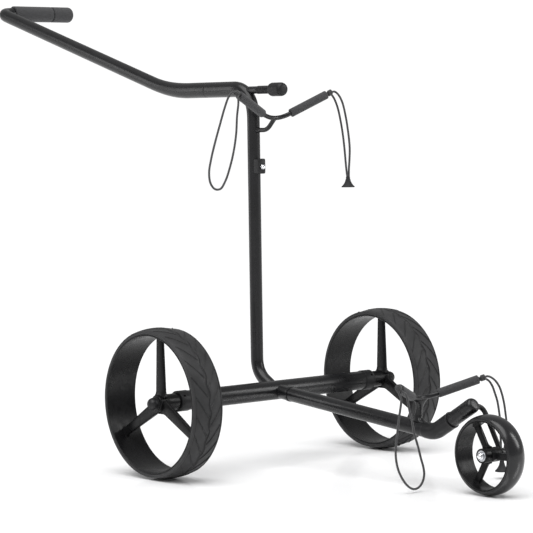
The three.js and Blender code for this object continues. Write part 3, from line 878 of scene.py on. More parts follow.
def flowing(route, step=0.0015):
    """Evenly spaced points on a centripetal Catmull-Rom curve through the route."""
    points = [ORIGIN + Vector(p) for p in route]
    points = [points[0] * 2 - points[1]] + points + [points[-1] * 2 - points[-2]]
    raw = []
    for i in range(1, len(points) - 2):
        p0, p1, p2, p3 = points[i - 1:i + 3]
        d0, d1, d2 = ((b - a).length ** 0.5 for a, b in ((p0, p1), (p1, p2), (p2, p3)))
        m1 = ((p1 - p0) / d0 - (p2 - p0) / (d0 + d1) + (p2 - p1) / d1) * d1
        m2 = ((p2 - p1) / d1 - (p3 - p1) / (d1 + d2) + (p3 - p2) / d2) * d1
        for k in range(16):
            t = k / 16
            a, b = 2 * t ** 3 - 3 * t * t + 1, t ** 3 - 2 * t * t + t
            c, d = 3 * t * t - 2 * t ** 3, t ** 3 - t * t
            raw.append(p1 * a + m1 * b + p2 * c + m2 * d)
    raw.append(points[-2])
    return spaced(raw, step)


def length_of(points):
    return sum((b - a).length for a, b in zip(points, points[1:]))


def down_and_up(down, up):
    """Two runs joined by a half-round turn below their ends."""
    middle_point, across = (down[-1] + up[0]) / 2, (up[0] - down[-1]) / 2
    turn = []
    for k in range(1, 6):
        angle = math.pi * k / 6
        turn.append(middle_point - across * math.cos(angle) - ALONG_Z * across.length * math.sin(angle))
    return down + turn + up


def build_cord(name, routes, ends, body, nodes, diameter):
    """A free cord through one route, or down one route and back up another.

    Its two ends run into the knot at the given points.
    """
    first, last = ends
    if len(routes) == 1:
        points = flowing([first, *routes[0], last])
    else:
        points = down_and_up(flowing([first, *routes[0]]), flowing([last, *routes[1]])[::-1])
    shell, places = swept(points, diameter / 2 / MM, 14, (0.8, 0.8))
    cord = piece(name, [shell], "cord", body, nodes, sharp=60, uv=places)
    return cord


def build_hook(name, node, body):
    """A flared rubber hook with a hollow bell and a ring above the flare."""
    low, high = box_of(node)
    top = Vector(((low.x + high.x) / 2, (low.y + high.y) / 2, high.z))
    outside = [(0, 0), (0, 3.6), (2.2, 4.3), (4.6, 4.1), (6.2, 5.0), (7.4, 5.2), (10.5, 6.0),
               (14, 7.7), (17.5, 10.2), (19.6, 12.4), (20.6, 13.5), (22, 13.5)]
    inside = [(21.9, 12.2), (19.5, 10.6), (16.5, 7.9), (14.2, 5.0), (13.4, 0)]
    profile = rounded(outside + inside, 0.5, 3)
    return piece(name, [turned(profile, top, -ALONG_Z, 64)], "rubber", body, [node], sharp=50)


def build_cords(sizes):
    MATERIALS["cord"] = braided_cord(tuple(bpy.context.scene.cart_colours.cord), sizes.braid)
    upper_hook = build_hook("upper_cord_hook", "upper_hook", "frame")
    lower_hook = build_hook("lower_cord_hook", "lower_hook", "front_arm")
    diameter = sizes.diameter
    build_cord("upper_left_loop", [UPPER_LEFT_ROUTE], knot_points(UPPER_TIP, UPPER_CROSS, -1), "frame",
               ["upper_left_cord"], diameter)
    build_cord("upper_right_loop", [UPPER_RIGHT_OUTER_ROUTE, UPPER_RIGHT_INNER_ROUTE],
               knot_points(UPPER_TIP, UPPER_CROSS, 1), "frame",
               ["upper_right_outer_cord", "upper_right_inner_cord"], diameter)
    build_cord("lower_left_loop", [LOWER_LEFT_ROUTE], knot_points(LOWER_TIP, LOWER_CROSS, -1), "front_arm",
               ["lower_left_cord"], diameter)
    build_cord("lower_right_loop", [LOWER_RIGHT_OUTER_ROUTE, LOWER_RIGHT_INNER_ROUTE],
               knot_points(LOWER_TIP, LOWER_CROSS, 1), "front_arm",
               ["lower_right_outer_cord", "lower_right_inner_cord"], diameter)
    for side_name, side in (("left", -1), ("right", 1)):
        build_knot(f"upper_{side_name}", mirror(UPPER_TIP, side), UPPER_CROSS, "frame")
        build_knot(f"lower_{side_name}", mirror(LOWER_TIP, side), LOWER_CROSS, "front_arm")


def knot_points(tip, cross, side):
    """Where a cord's two ends lie inside a knot, from the ground below the axle."""
    line = (mirror(tip, side) - cross).normalized()
    place = mirror(tip, side) - ORIGIN
    return tuple(place + line * 9.0 * MM), tuple(place + line * 4.5 * MM)


def build_knot(prefix, tip, cross, body):
    """The cord's end wound about the arm's tip, over a round core."""
    line = (tip - cross).normalized()
    mesh = grown(prefix + "_knot", "helix", [], {
        "Turns": 2.6, "Radius": 4.0 * MM, "Height": 6.4 * MM, "Thickness": 2.1 * MM,
        "Sides": 14, "Steps": 90, "Material": MATERIALS["cord"]})
    turn = ALONG_Z.rotation_difference(line).to_matrix().to_4x4()
    winding = mesh_shell(mesh, Matrix.Translation(tip + line * 2.4 * MM) @ turn)
    core = turned(rounded([(0.3, 0), (0.3, 3.6), (9.0, 3.8), (11.0, 2.0), (11.0, 0)], 1.2), tip, line, 32)
    piece(prefix + "_knot_turns", [winding, core], "cord", body, [prefix + "_knot"], sharp=60)


# ----------------------------------------------------------------------- frame


def build_main_frame():
    """Axle tube, mast with its bored head, and the stub that takes the front tube."""
    profile = rounded_ring(AXLE_BORE, AXLE_RADIUS, -AXLE_HALF, AXLE_HALF, 0.8)
    piece("axle", [turned(profile, AXLE, ALONG_X)], "paint", "frame", ["axle_tube"])

    corners = [at(0, 6, 147), at(0, MAST_Y, 176), at(0, MAST_Y, HEAD_Z), at(0, SEAM_Y - GAP, HEAD_Z)]
    points = bent(corners, [30, 60])
    radii = []
    for point in points:
        past_bend = (point - ORIGIN).y / MM - MAST_Y
        share = smooth_step((past_bend - 2) / 52) if (point - ORIGIN).z / MM > 650 else 0.0
        radii.append(MAST_RADIUS + (HEAD_RADIUS - MAST_RADIUS) * share)
    line = at(0, 0, SCREW_Z)
    mast = carved(sweep(points, radii, 48, (0.5, 0.6)),
                  [plain_rod(8.4, -10, 75, line, ALONG_Y, 48), plain_rod(5, 60, 260, line, ALONG_Y, 32)])
    piece("mast", [mast], "paint", "frame", ["mast_tube"], sharp=40)

    profile = rounded(
        [(6, 0), (6, TUBE_RADIUS), (41, TUBE_RADIUS), (41, 15.2), (47.1, 15.2), (47.1, 11.35),
         (118, 11.35), (120, 9.7), (120, 0)],
        [0, 0.2, 0.1, 0.7, 0.3, 0.2, 0.3], 3)
    stub = turned(profile, TUBE_ORIGIN, TUBE_LINE, 64)
    piece("stub", [stub], "paint", "frame", ["front_stub"])


def build_handle():
    """Handle tube with the foam grip and its round end."""
    corners = [at(0, SEAM_Y, HEAD_Z), at(0, 323, HEAD_Z), HANDLE_END, HANDLE_END + ALONG_X * 182 * MM]
    points = bent(corners, [62, 30])
    slimming = HEAD_RADIUS - HANDLE_RADIUS
    radii = [HEAD_RADIUS - slimming * smooth_step(((p - ORIGIN).y / MM - 270) / 110) for p in points]
    bore = plain_rod(7.6, -10, 46, corners[0], ALONG_Y, 40)
    handle = carved(sweep(points, radii, 48, (0.6, 1.0)), [bore])
    piece("handle", [handle], "paint", "handle", ["handle_tube"], sharp=40)

    inner = HANDLE_RADIUS + GAP
    sleeve = turned(rounded_ring(inner, GRIP_RADIUS, 33, 136, 2.0), HANDLE_END, ALONG_X, 96)
    grip = piece("grip", [sleeve], "foam", "handle", ["grip_sleeve"])
    outside = [(138.5, inner), (138.5, GRIP_RADIUS), (188, GRIP_RADIUS), (194, 12.5), (194, 0)]
    profile = rounded(outside, [2.0, 7.0, 5.5], 8) + [(183, 0), (183, inner), (138.5, inner)]
    shell = turned(profile, HANDLE_END, ALONG_X, 96)
    cap = piece("grip_cap", [shell], "foam", "handle", ["grip_end"])


def build_clamp():
    """Clamp screw with its thread, and the knob that turns it."""
    start = at(0, 0, SCREW_Z)
    shaft = turned(rounded([(-20, 0), (-20, 6), (-1, 6), (-1, 7.4), (70, 7.4), (72, 4.6), (232, 4.6),
                            (232, 0)], 0.3, 2), start, ALONG_Y, 48)
    mesh = grown("clamp_thread", "helix", [], {
        "Turns": 13.0, "Radius": 7.25 * MM, "Height": 41 * MM, "Thickness": 0.95 * MM,
        "Sides": 8, "Steps": 700, "Material": MATERIALS["paint"]})
    turn = ALONG_Z.rotation_difference(ALONG_Y).to_matrix().to_4x4()
    thread = mesh_shell(mesh, Matrix.Translation(start + ALONG_Y * 1.2 * MM) @ turn)
    piece("clamp_screw_fine", [shaft, thread], "paint", "clamp", ["clamp_screw"], sharp=50)

    outline = [(-22, 6.4), (-1.6, 6.4), (-1.6, 9.6), (0.5, 10.6), (0.5, 12.4), (-3.2, 13.6), (-30.5, 13.6),
               (-36.2, 10.5), (-37, 5), (-37, 0), (-22, 0), (-22, 6.4)]
    profile = rounded(outline, [0.2, 0.8, 0.6, 0.9, 1.2, 5.5, 4.0, 2.0, 0, 0], 6)
    piece("knob", [turned(profile, start, ALONG_Y, 96)], "moulding", "clamp", ["clamp_knob"],
          sharp=40)


def build_accessory():
    """Accessory block with its dome nut."""
    front = 32.5
    sections = []
    for depth, inset in ((0.0, 1.3), (0.35, 0.6), (0.9, 0.15), (1.5, 0.0), (10, 0.0), (16.3, 0.0)):
        sections.append(super_ellipse(at(0, front + depth, 590), ALONG_X, ALONG_Z,
                                      9 - inset, 15 - inset, 9, 72))
    centre = at(0, front, 588.5)
    seat = plain_rod(6, -1, 0.9, centre, ALONG_Y, 48)
    mast = plain_rod(MAST_RADIUS + GAP, 0, 100, at(0, MAST_Y, 540), ALONG_Z, 64)
    block = carved(lofted(sections), [seat, mast])
    piece("block", [block], "moulding", "frame", ["accessory_block"], sharp=25)

    hexagon = turned(rounded([(0.6, 0), (0.6, 5.2), (0.2, 5.5), (-1.9, 5.5), (-2.4, 5.0), (-2.4, 0)],
                             0.2, 2), centre, ALONG_Y, 6)
    dome = []
    for k in range(9):
        angle = math.pi / 2 * k / 8
        dome.append((-2.3 - 4.7 * math.sin(angle), 4.5 * math.cos(angle)))
    dome[-1] = (-7.0, 0)
    cap = turned([(-1.0, 0), (-1.0, 4.5)] + dome, centre, ALONG_Y, 48)
    piece("dome_nut", [hexagon, cap], "chrome", "frame", ["accessory_nut"], sharp=30)


# --------------------------------------------------------------------- cradles


def build_sleeves(prefix, tip, cross, body, start, end):
    for side_name, side in (("left", -1), ("right", 1)):
        line = (mirror(tip, side) - cross).normalized()
        shell = turned(rounded_ring(ROD_RADIUS + GAP, SLEEVE_RADIUS, start, end, 1.3), cross, line, 64)
        sleeve = piece(f"{prefix}_{side_name}_foam", [shell], "foam", body,
                       [f"{prefix}_{side_name}_sleeve"])


def cradle_rod(tip, cross):
    """Both arms and the rounded bottom between them."""
    return sweep(bent([mirror(tip, -1), cross, tip], [CRADLE_BEND], 3 * MM), ROD_RADIUS)


def build_cradles():
    """Both cradles: glossy rods, foam sleeves, the upper strut and the lower saddle post."""
    strut_points = bent([at(0, 60, 661.7), at(0, 16, 661.7), at(0, -9, 686)], [12], 2 * MM)
    strut_radii = radius_along(strut_points, [(0, 6.0), (14, 6.0), (24, ROD_RADIUS), (80, ROD_RADIUS)])
    strut = sweep(strut_points, strut_radii)
    piece("upper_arms", [cradle_rod(UPPER_TIP, UPPER_CROSS), strut], "paint", "frame",
          ["upper_cradle"], sharp=40)
    length = (UPPER_TIP - UPPER_CROSS).length / MM
    build_sleeves("upper", UPPER_TIP, UPPER_CROSS, "frame", length - 90, length - 3)

    piece("lower_arms", [cradle_rod(LOWER_TIP, LOWER_CROSS), saddle_post()], "paint", "front_arm",
          ["lower_cradle"], sharp=40)
    length = (LOWER_TIP - LOWER_CROSS).length / MM
    build_sleeves("lower", LOWER_TIP, LOWER_CROSS, "front_arm", length - 84, length - 3)


def saddle_post():
    """The post on the front tube: a long foot, a slim waist and a head that spreads to the arms."""
    foot = on_tube(403)
    up = TUBE_LINE.cross(ALONG_X).normalized()
    top = at(0, -411.0, 163.5)
    sections = []
    for height, half_along, half_across in (
            (0.0, 22.0, 9.5), (1.2, 21.6, 9.2), (2.6, 17.5, 8.6), (4.6, 12.6, 7.6), (7.5, 9.2, 6.6),
            (12, 7.2, 5.9), (18, 6.5, 5.7), (24, 6.3, 6.2), (29, 6.2, 7.6), (33, 6.0, 10.4),
            (36.5, 5.6, 14.8), (39.2, 5.0, 20.0), (41.4, 3.6, 24.0), (POST_HEIGHT, 1.6, 24.5)):
        centre = (foot + up * (TUBE_MEET + height) * MM).lerp(
            top + up * (height - POST_HEIGHT) * MM, smooth_step(height / POST_HEIGHT))
        sections.append(super_ellipse(centre, TUBE_LINE, ALONG_X, half_along, half_across, 2.4, 40))
    return carved(lofted(sections), [plain_rod(14.4, 300, 424, TUBE_ORIGIN, TUBE_LINE, 64)])


# ------------------------------------------------------------------- front arm


def build_front_arm():
    """Front tube, elbow casting with its lip, and the stem."""
    profile = rounded_ring(TUBE_BORE, TUBE_RADIUS, TUBE_START, TUBE_END, 0.8)
    piece("tube", [turned(profile, TUBE_ORIGIN, TUBE_LINE, 96)], "paint", "front_arm", ["front_tube"])

    points = bent([on_tube(410), CROSSING, on_stem(STEM_START)], [15], 1.5 * MM)
    total = length_of(points) / MM
    radii = radius_along(points, [(0, 14.55), (14, 14.6), (17, 15.4), (total * 0.6, 15.7),
                                  (total - 3.4, 15.9), (total - 2.6, 16.4), (total, 16.4)])
    bore = plain_rod(14.25, 300, 425.2, TUBE_ORIGIN, TUBE_LINE, 64)
    elbow = carved(sweep(points, radii, 56, (0.6, 1.0)), [bore])
    piece("elbow", [elbow], "casting", "front_arm", ["elbow_casting"], sharp=35)

    profile = rounded_ring(6.4, STEM_RADIUS, STEM_START + GAP, CAP_START - GAP, 0.8)
    piece("stem", [turned(profile, CROSSING, STEM_LINE, 96)], "paint", "front_arm", ["stem_tube"])


def build_fork():
    """Stem cap, fork rod, and the bolt and nut of the front wheel."""
    outline = [(CAP_START, 0), (CAP_START, CAP_RADIUS), (113.5, CAP_RADIUS), (118.9, 11.0), (CAP_END, 5),
               (CAP_END, 0)]
    profile = rounded(outline, [0.7, 4.5, 3.4, 1.8], 6)
    start = on_stem(FORK_LEVEL)
    body = turned(profile, CROSSING, STEM_LINE, 96)
    pin = plain_rod(6.3, CAP_START - 1, FORK_LEVEL - 6.5, CROSSING, STEM_LINE, 40)
    hole = plain_rod(FORK_RADIUS + GAP, -10, 30, start, ALONG_X, 40)
    piece("cap", [carved(body, [pin, hole])], "paint", "fork", ["stem_cap"], sharp=35)

    low_end = FRONT_HUB + ALONG_X * FORK_X * MM
    corners = [start - ALONG_X * 9 * MM, start + ALONG_X * FORK_X * MM, low_end]
    rod = sweep(bent(corners, [19], 2 * MM), FORK_RADIUS)
    eye = turned(rounded_ring(4.4, 9.5, -4.8, 4.8, 1.0), low_end, ALONG_X, 64)
    hole = plain_rod(4.4, -9, 9, low_end, ALONG_X, 40)
    piece("fork", [carved(rod, [hole]), eye], "paint", "fork", ["fork_rod"], sharp=40)

    nut = turned(rounded([(-29.5, 0), (-29.3, 2.4), (-28.0, 4.4), (-25.9, 5.3), (-25.7, 5.5), (-23.6, 5.5),
                          (-23.4, 6.8), (-21.4, 6.8), (-21.2, 6.4), (-21.2, 4.3), (-24.4, 4.3), (-24.4, 0)],
                         [0.6, 1.2, 0.6, 0.1, 0.2, 0.2, 0.3, 0.2, 0.1, 0.1, 0.1], 3), FRONT_HUB, ALONG_X, 48)
    piece("wheel_nut", [nut], "chrome", "fork", ["front_axle_nut"], sharp=30)
    head = turned(rounded([(-24, 0), (-24, 4), (36.2, 4), (36.2, 6.8), (40, 6.8), (41, 5.4), (41, 0)],
                          [0.3, 0.1, 0.4, 0.6, 0.6], 3), FRONT_HUB, ALONG_X, 48)
    piece("wheel_bolt", [head], "steel", "fork", ["front_axle_bolt"], sharp=30)


# ---------------------------------------------------------------------- wheels


def spoke_seed(direction, side_axis, inner, outer, widths, depths, feet, ridge, power):
    """One spoke in a wheel's own frame: X is the wheel's axis."""
    sections = []
    count = 22
    for k in range(count + 1):
        t = k / count
        reach = inner + (outer - inner) * t
        flare = 0.0
        near_rim, near_hub = outer - reach, reach - inner
        if near_rim < feet:
            flare = (1 - near_rim / feet) ** 2
        elif near_hub < feet * 1.4:
            flare = (1 - near_hub / (feet * 1.4)) ** 2
        half_width = widths[0] + (widths[1] - widths[0]) * t + flare * 4.0
        half_depth = depths[0] + (depths[1] - depths[0]) * t + flare * 2.4
        centre = direction * reach * MM
        ring = []
        for a, b in section_outline(half_width, half_depth, ridge, power):
            ring.append(centre + side_axis * a * MM + ALONG_X * b * MM)
        sections.append(ring)
    return lofted(sections)


def section_outline(half_width, half_depth, ridge, power):
    """A blade's outline: a ridge along the middle of each face, and round edges."""
    points = []
    for k in range(32):
        a, b = squared(2 * math.pi * (k + 0.5) / 32, power)
        points.append((a * half_width, b * (1 - ridge * abs(a)) * half_depth))
    return points


def wheel_matrix(side):
    centre = LEFT_HUB if side < 0 else RIGHT_HUB
    turn = Matrix.Rotation(math.pi if side < 0 else 0.0, 4, "Z")
    return Matrix.Translation(centre) @ turn


def on_wheel(across, radius, angle):
    """A point in a wheel's own frame from millimetres."""
    return Vector((across, -radius * math.sin(angle), radius * math.cos(angle))) * MM


def tread_height(across, phase, sizes):
    """Height in metres of the tread above its base, across the tyre and along one pitch."""
    half = REAR_HALF * MM
    place = abs(across) / half
    local = phase if across < 0 else (phase + 0.5) % 1.0
    width = sizes.groove_width * sizes.pitches / (2 * math.pi * REAR_RADIUS * MM)
    if local < width:
        panel = math.sin(math.pi * local / width)
    elif local < 2 * width:
        panel = -0.22 * math.sin(math.pi * (local / width - 1))
    else:
        panel = 0.2 * math.sin(math.pi * (local - 2 * width) / (1 - 2 * width))
    panel = panel * smooth_step((0.9 - place) / 0.05) + 0.45 * smooth_step((place - 0.85) / 0.05)
    middle = abs(across) / sizes.groove_width
    vein = -0.5 * math.exp(-(middle / 0.42) ** 2) + 1.0 * math.exp(-((middle - 0.95) / 0.4) ** 2)
    blend = smooth_step((middle - 0.9) / 0.8)
    line = math.exp(-((place - 0.87) * half / (sizes.groove_width * 0.3)) ** 2)
    return (panel * blend + vein * (1 - blend) - line * 0.7) * sizes.groove_depth


def tyre_pitch(sizes):
    """One pitch of a rear tyre in the wheel's own frame, open at its two sides."""
    pitch = 2 * math.pi / sizes.pitches
    rows = [k / 24 for k in range(-24, 25)]
    rows += [-0.885, -0.87, -0.858, 0.858, 0.87, 0.885, -0.012, 0.012, -0.025, 0.025, -0.055, 0.055]
    rows = sorted(set(round(r, 4) for r in rows))
    phases = []
    for base in (0.0, 0.5, 1.0):
        for offset in (-0.08, -0.02, 0, 0.012, 0.024, 0.036, 0.0475, 0.06, 0.071, 0.083, 0.095, 0.12):
            if 0 <= base + offset <= 1:
                phases.append(base + offset)
    phases += [0.22, 0.3, 0.37, 0.72, 0.8, 0.87]
    phases = sorted(set(round(p, 4) for p in phases))

    def surface(row, phase):
        across = row * REAR_HALF
        swing = sizes.sweep * abs(row) ** 1.15
        weave = sizes.weave / MM * math.sin(2 * math.pi * phase) * (1 - abs(row)) ** 2
        crown = (REAR_RADIUS - REAR_EDGE_RADIUS) * (1 - row * row)
        base = REAR_EDGE_RADIUS + crown - sizes.groove_depth / MM
        lift = tread_height(across * MM, phase, sizes) / MM
        edge = max(0.0, (abs(row) - 0.93) / 0.07)
        radius = base + lift - 1.6 * (1 - math.sqrt(max(0.0, 1 - edge * edge)))
        return on_wheel(across + weave, min(radius, REAR_RADIUS), (phase + swing) * pitch)

    def side_ring(row, phase):
        profile = ((1.0, 138.3), (0.999, 137.5), (0.988, 137.2), (0.988, 136.8), (0.999, 136.5),
                   (0.999, 134.6), (0.985, 133.9))
        angle = (phase + sizes.sweep) * pitch
        return [on_wheel(math.copysign(place * REAR_HALF, row), radius, angle) for place, radius in profile]

    columns = []
    for phase in phases:
        column = list(reversed(side_ring(-1, phase)))
        column += [surface(row, phase) for row in rows]
        column += side_ring(1, phase)
        columns.append(column)
    size = len(columns[0])
    verts = [point for column in columns for point in column]
    faces = []
    for i in range(len(columns) - 1):
        for k in range(size):
            n = (k + 1) % size
            faces.append((i * size + k, i * size + n, (i + 1) * size + n, (i + 1) * size + k))
    return verts, faces


def build_rear_wheels(sizes):
    """Rear wheels with treaded tyres, ridged blades and ball hub caps, on their quick-release axles."""
    seed = tyre_pitch(sizes)
    for side_name, side in (("left", -1), ("right", 1)):
        place = wheel_matrix(side)
        body = f"{side_name}_wheel"
        tread = mesh_shell(grown(f"{side_name}_tread", "repeat", [seed], {
            "Count": sizes.pitches, "Weld": 0.00002, "Material": MATERIALS["tread"]}), place)
        piece(f"{side_name}_rear_tyre", [tread], "tread", body, [f"{side_name}_tyre"], sharp=28)

        axis = place.to_3x3() @ ALONG_X
        centre = place.translation
        blade = spoke_seed(ALONG_Z, ALONG_Y, 12.5, 131.6, (13.0, 8.2), (5.2, 4.6), 7.0, 0.2, 5.0)
        shift = place @ Matrix.Translation(ALONG_X * 3 * MM)
        blades = mesh_shell(grown(f"{side_name}_blades", "repeat", [blade], {
            "Count": 3, "Weld": 0.0, "Material": MATERIALS["rim"]}), shift)
        lip = [(-34.1, 131.2), (-33.6, 130.8), (-31.0, 130.9), (0, 131.0), (31.0, 130.9), (33.6, 130.8),
               (34.1, 131.2), (34.1, 133.2), (33.4, 133.6), (-33.4, 133.6), (-34.1, 133.2), (-34.1, 131.2)]
        shell = turned(lip, centre, axis, 192)
        hub = turned(rounded([(-31.7, 0), (-31.7, 16.2), (16.3, 16.2), (16.3, 0)], [1.0, 2.6], 6),
                     centre, axis, 96)
        piece(f"{side_name}_rear_rim", [shell, hub, blades], "rim", body, [f"{side_name}_rim"],
              sharp=34)

        ball = [(16.6, 0), (16.6, 12.2), (17.0, 12.6), (17.6, 12.6), (18.0, 12.2), (18.3, 11.25)]
        for degrees in range(106, -1, -6):
            angle = math.radians(degrees)
            ball.append((BALL_PLACE + BALL_RADIUS * math.cos(angle), BALL_RADIUS * math.sin(angle)))
        ball.append((BALL_PLACE + BALL_RADIUS, 0))
        piece(f"{side_name}_ball_cap", [turned(ball, centre, axis, 96)], "moulding", body,
              [f"{side_name}_hub_cap"], sharp=34)
        build_release(side_name, centre, axis)


def build_release(side_name, centre, axis):
    """The plug in the axle's end, and the release collar with its slots."""
    outline = [(-84.7, 6.3), (-84.7, 16.4), (-50.7, 16.4), (-50.7, 15.0), (-28.7, 15.0), (-28.7, 6.3),
               (-84.7, 6.3)]
    profile = rounded(outline, [0.8, 0.2, 0.1, 1.0, 0.4], 3)
    piece(f"{side_name}_plug", [turned(profile, centre, axis, 80)], "moulding", "frame",
          [f"{side_name}_axle_plug"], sharp=35)
    start = centre + axis * (-57.7 * MM)
    outline = [(0, 19.35), (0, 19.8), (0.6, 20.2), (20.4, 20.2), (20.9, 19.6), (21.8, 19.6), (22.3, 20.2),
               (23.4, 20.2), (24.5, 19.1), (24.5, 15.4), (12.3, 15.4), (12.3, 19.35), (0, 19.35)]
    profile = rounded(outline, [0.1, 0.3, 0.2, 0.2, 0.2, 0.2, 0.5, 0.6, 0.3, 0.1, 0.1], 3)
    collar = turned(profile, start, axis, 96)
    slots = []
    for degrees in (35, 155, 275):
        angle = math.radians(degrees)
        out = Vector((0, -math.cos(angle), math.sin(angle)))
        slots.append(plain_rod(2.6, -3.6, 5, start + axis * 16.3 * MM + out * 20 * MM, out, 24))
    piece(f"{side_name}_collar", [carved(collar, slots)], "moulding", f"{side_name}_collar",
          [f"{side_name}_release_collar"], sharp=35)


def build_front_wheel():
    """Front wheel: glossy round tyre with ring lines, and a rim with three flat spokes."""
    half = FRONT_HALF
    profile = [(-half + 0.4, 64.0), (-half, 64.5), (-half, 65.6), (-half + 0.5, 65.9), (-half + 0.5, 66.5),
               (-half + 0.1, 66.8), (-half + 0.35, 67.6), (-half + 1.0, 67.9), (-half + 1.1, 68.3)]
    crown = []
    for k in range(25):
        t = -0.9 + 1.8 * k / 24
        crown.append((t * half, 64.5 + 9.0 * math.sqrt(1 - t * t)))
    profile = profile + crown + [(-x, r) for x, r in reversed(profile)] + [profile[0]]
    piece("front_wheel_tyre", [turned(profile, FRONT_HUB, ALONG_X, 192)], "front_tyre", "front_wheel",
          ["front_tyre"], sharp=25)

    shell = turned([(-20.3, 61.9), (-19.8, 61.5), (19.8, 61.5), (20.3, 61.9), (20.3, 63.4), (19.9, 63.7),
                    (-19.9, 63.7), (-20.3, 63.4), (-20.3, 61.9)], FRONT_HUB, ALONG_X, 160)
    hub = turned(rounded([(-half, 0), (-half, 13.5), (half, 13.5), (half, 0)], 1.2, 4), FRONT_HUB, ALONG_X,
                 80)
    hub = carved(hub, [plain_rod(10.5, -30, -13.8, FRONT_HUB, ALONG_X, 64)])
    spoke = spoke_seed(-ALONG_Y, ALONG_Z, 11.5, 62.2, (6.4, 6.4), (3.6, 3.6), 6.0, 0.0, 6.0)
    spokes = mesh_shell(grown("front_spokes", "repeat", [spoke], {
        "Count": 3, "Weld": 0.0, "Material": MATERIALS["rim"]}), Matrix.Translation(FRONT_HUB))
    piece("front_wheel_rim", [shell, hub, spokes], "rim", "front_wheel", ["front_rim"], sharp=34)


def finish_steel():
    """The bearings, pins, spindles and spacer keep their shape and take turned steel."""
    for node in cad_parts.values():
        if node.hide_render:
            continue
        node.data.materials.clear()
        node.data.materials.append(MATERIALS["steel"])


# ----------------------------------------------------------------------- stage


def pale_floor():
    """White matt floor with a faint reflection of what stands on it."""
    material = bpy.data.materials.new("floor")
    material.use_nodes = True
    nodes, links = material.node_tree.nodes, material.node_tree.links
    nodes.remove(nodes["Principled BSDF"])
    matt = nodes.new("ShaderNodeBsdfDiffuse")
    matt.inputs["Color"].default_value = (0.99, 0.99, 0.995, 1)
    shiny = nodes.new("ShaderNodeBsdfGlossy")
    shiny.inputs["Color"].default_value = (1, 1, 1, 1)
    shiny.inputs["Roughness"].default_value = 0.12
    mix = nodes.new("ShaderNodeMixShader")
    mix.inputs["Fac"].default_value = FLOOR_SHINE
    links.new(matt.outputs["BSDF"], mix.inputs[1])
    links.new(shiny.outputs["BSDF"], mix.inputs[2])
    links.new(mix.outputs["Shader"], nodes["Material Output"].inputs["Surface"])
    return material


def studio_world():
    """White surroundings: full white where the camera sees them, softer as a light."""
    world = bpy.data.worlds.new("studio")
    world.use_nodes = True
    nodes, links = world.node_tree.nodes, world.node_tree.links
    path = nodes.new("ShaderNodeLightPath")
    strength = nodes.new("ShaderNodeMapRange")
    strength.inputs["To Min"].default_value = WORLD_LIGHT
    strength.inputs["To Max"].default_value = WORLD_SEEN
    links.new(path.outputs["Is Camera Ray"], strength.inputs["Value"])
    links.new(strength.outputs["Result"], nodes["Background"].inputs["Strength"])
    nodes["Background"].inputs["Color"].default_value = (1, 1, 1, 1)
    return world


def add_light(name, kind, place, aim, **values):
    data = bpy.data.lights.new(name, kind)
    for key, value in values.items():
        setattr(data, key, value)
    light = placed(name, data)
    light.location = place
    light.rotation_mode = "QUATERNION"
    light.rotation_quaternion = (Vector(aim) - Vector(place)).to_track_quat("-Z", "Y")
    return light


def build_stage():
    """Pale floor, even white surroundings and soft lights."""
    mesh = bpy.data.meshes.new("floor")
    size = FLOOR_HALF
    mesh.from_pydata([(-size, -size, 0), (size, -size, 0), (size, size, 0), (-size, size, 0)], [],
                     [(0, 1, 2, 3)])
    mesh.materials.append(pale_floor())
    floor = placed("floor", mesh)
    floor.location.z = -0.0005
    bpy.context.scene.world = studio_world()
    bpy.context.scene.view_settings.view_transform = "Standard"
    add_light("overhead", "SUN", (-0.9, -0.5, 3), (0, 0, 0), energy=2.95, angle=math.radians(60))
    add_light("key", "AREA", (-2.6, -1.2, 2.3), (0, 0, 0.4), shape="RECTANGLE", size=0.7, size_y=2.2,
                  energy=18)
    add_light("side", "AREA", (-2.2, 2.6, 1.3), (0, 0.2, 0.5), shape="RECTANGLE", size=0.6, size_y=2.0,
                  energy=12)
    add_light("right", "AREA", (2.4, -2.6, 1.8), (0, -0.1, 0.4), shape="RECTANGLE", size=0.7, size_y=2.0,
                  energy=30)


# ------------------------------------------------------------------- operators


class PUSHCART_OT_camera(bpy.types.Operator):
    """Add the camera."""

    bl_idname = "pushcart.camera"
    bl_label = "Camera"

    def execute(self, context):
        build_camera()
        return {"FINISHED"}


class PUSHCART_OT_cords(bpy.types.Operator):
    """Make the shock cords, their knots and their hooks."""

    bl_idname = "pushcart.cords"
    bl_label = "Shock cords"

    def execute(self, context):
        build_cords(context.scene.cart_cord)
        return {"FINISHED"}


class PUSHCART_OT_main_frame(bpy.types.Operator):
    """Make the axle tube, the mast and the stub."""

    bl_idname = "pushcart.main_frame"
    bl_label = "Axle and mast"

    def execute(self, context):
        build_main_frame()
        return {"FINISHED"}


class PUSHCART_OT_handle(bpy.types.Operator):
    """Make the handle tube and its grip."""

    bl_idname = "pushcart.handle"
    bl_label = "Handle"

    def execute(self, context):
        build_handle()
        return {"FINISHED"}


class PUSHCART_OT_clamp(bpy.types.Operator):
    """Make the clamp screw and its knob."""

    bl_idname = "pushcart.clamp"
    bl_label = "Clamp"

    def execute(self, context):
        build_clamp()
        return {"FINISHED"}


class PUSHCART_OT_accessory(bpy.types.Operator):
    """Make the accessory block and its nut."""

    bl_idname = "pushcart.accessory"
    bl_label = "Accessory block"

    def execute(self, context):
        build_accessory()
        return {"FINISHED"}


class PUSHCART_OT_cradles(bpy.types.Operator):
    """Make both bag cradles with their sleeves."""

    bl_idname = "pushcart.cradles"
    bl_label = "Bag cradles"

    def execute(self, context):
        build_cradles()
        return {"FINISHED"}


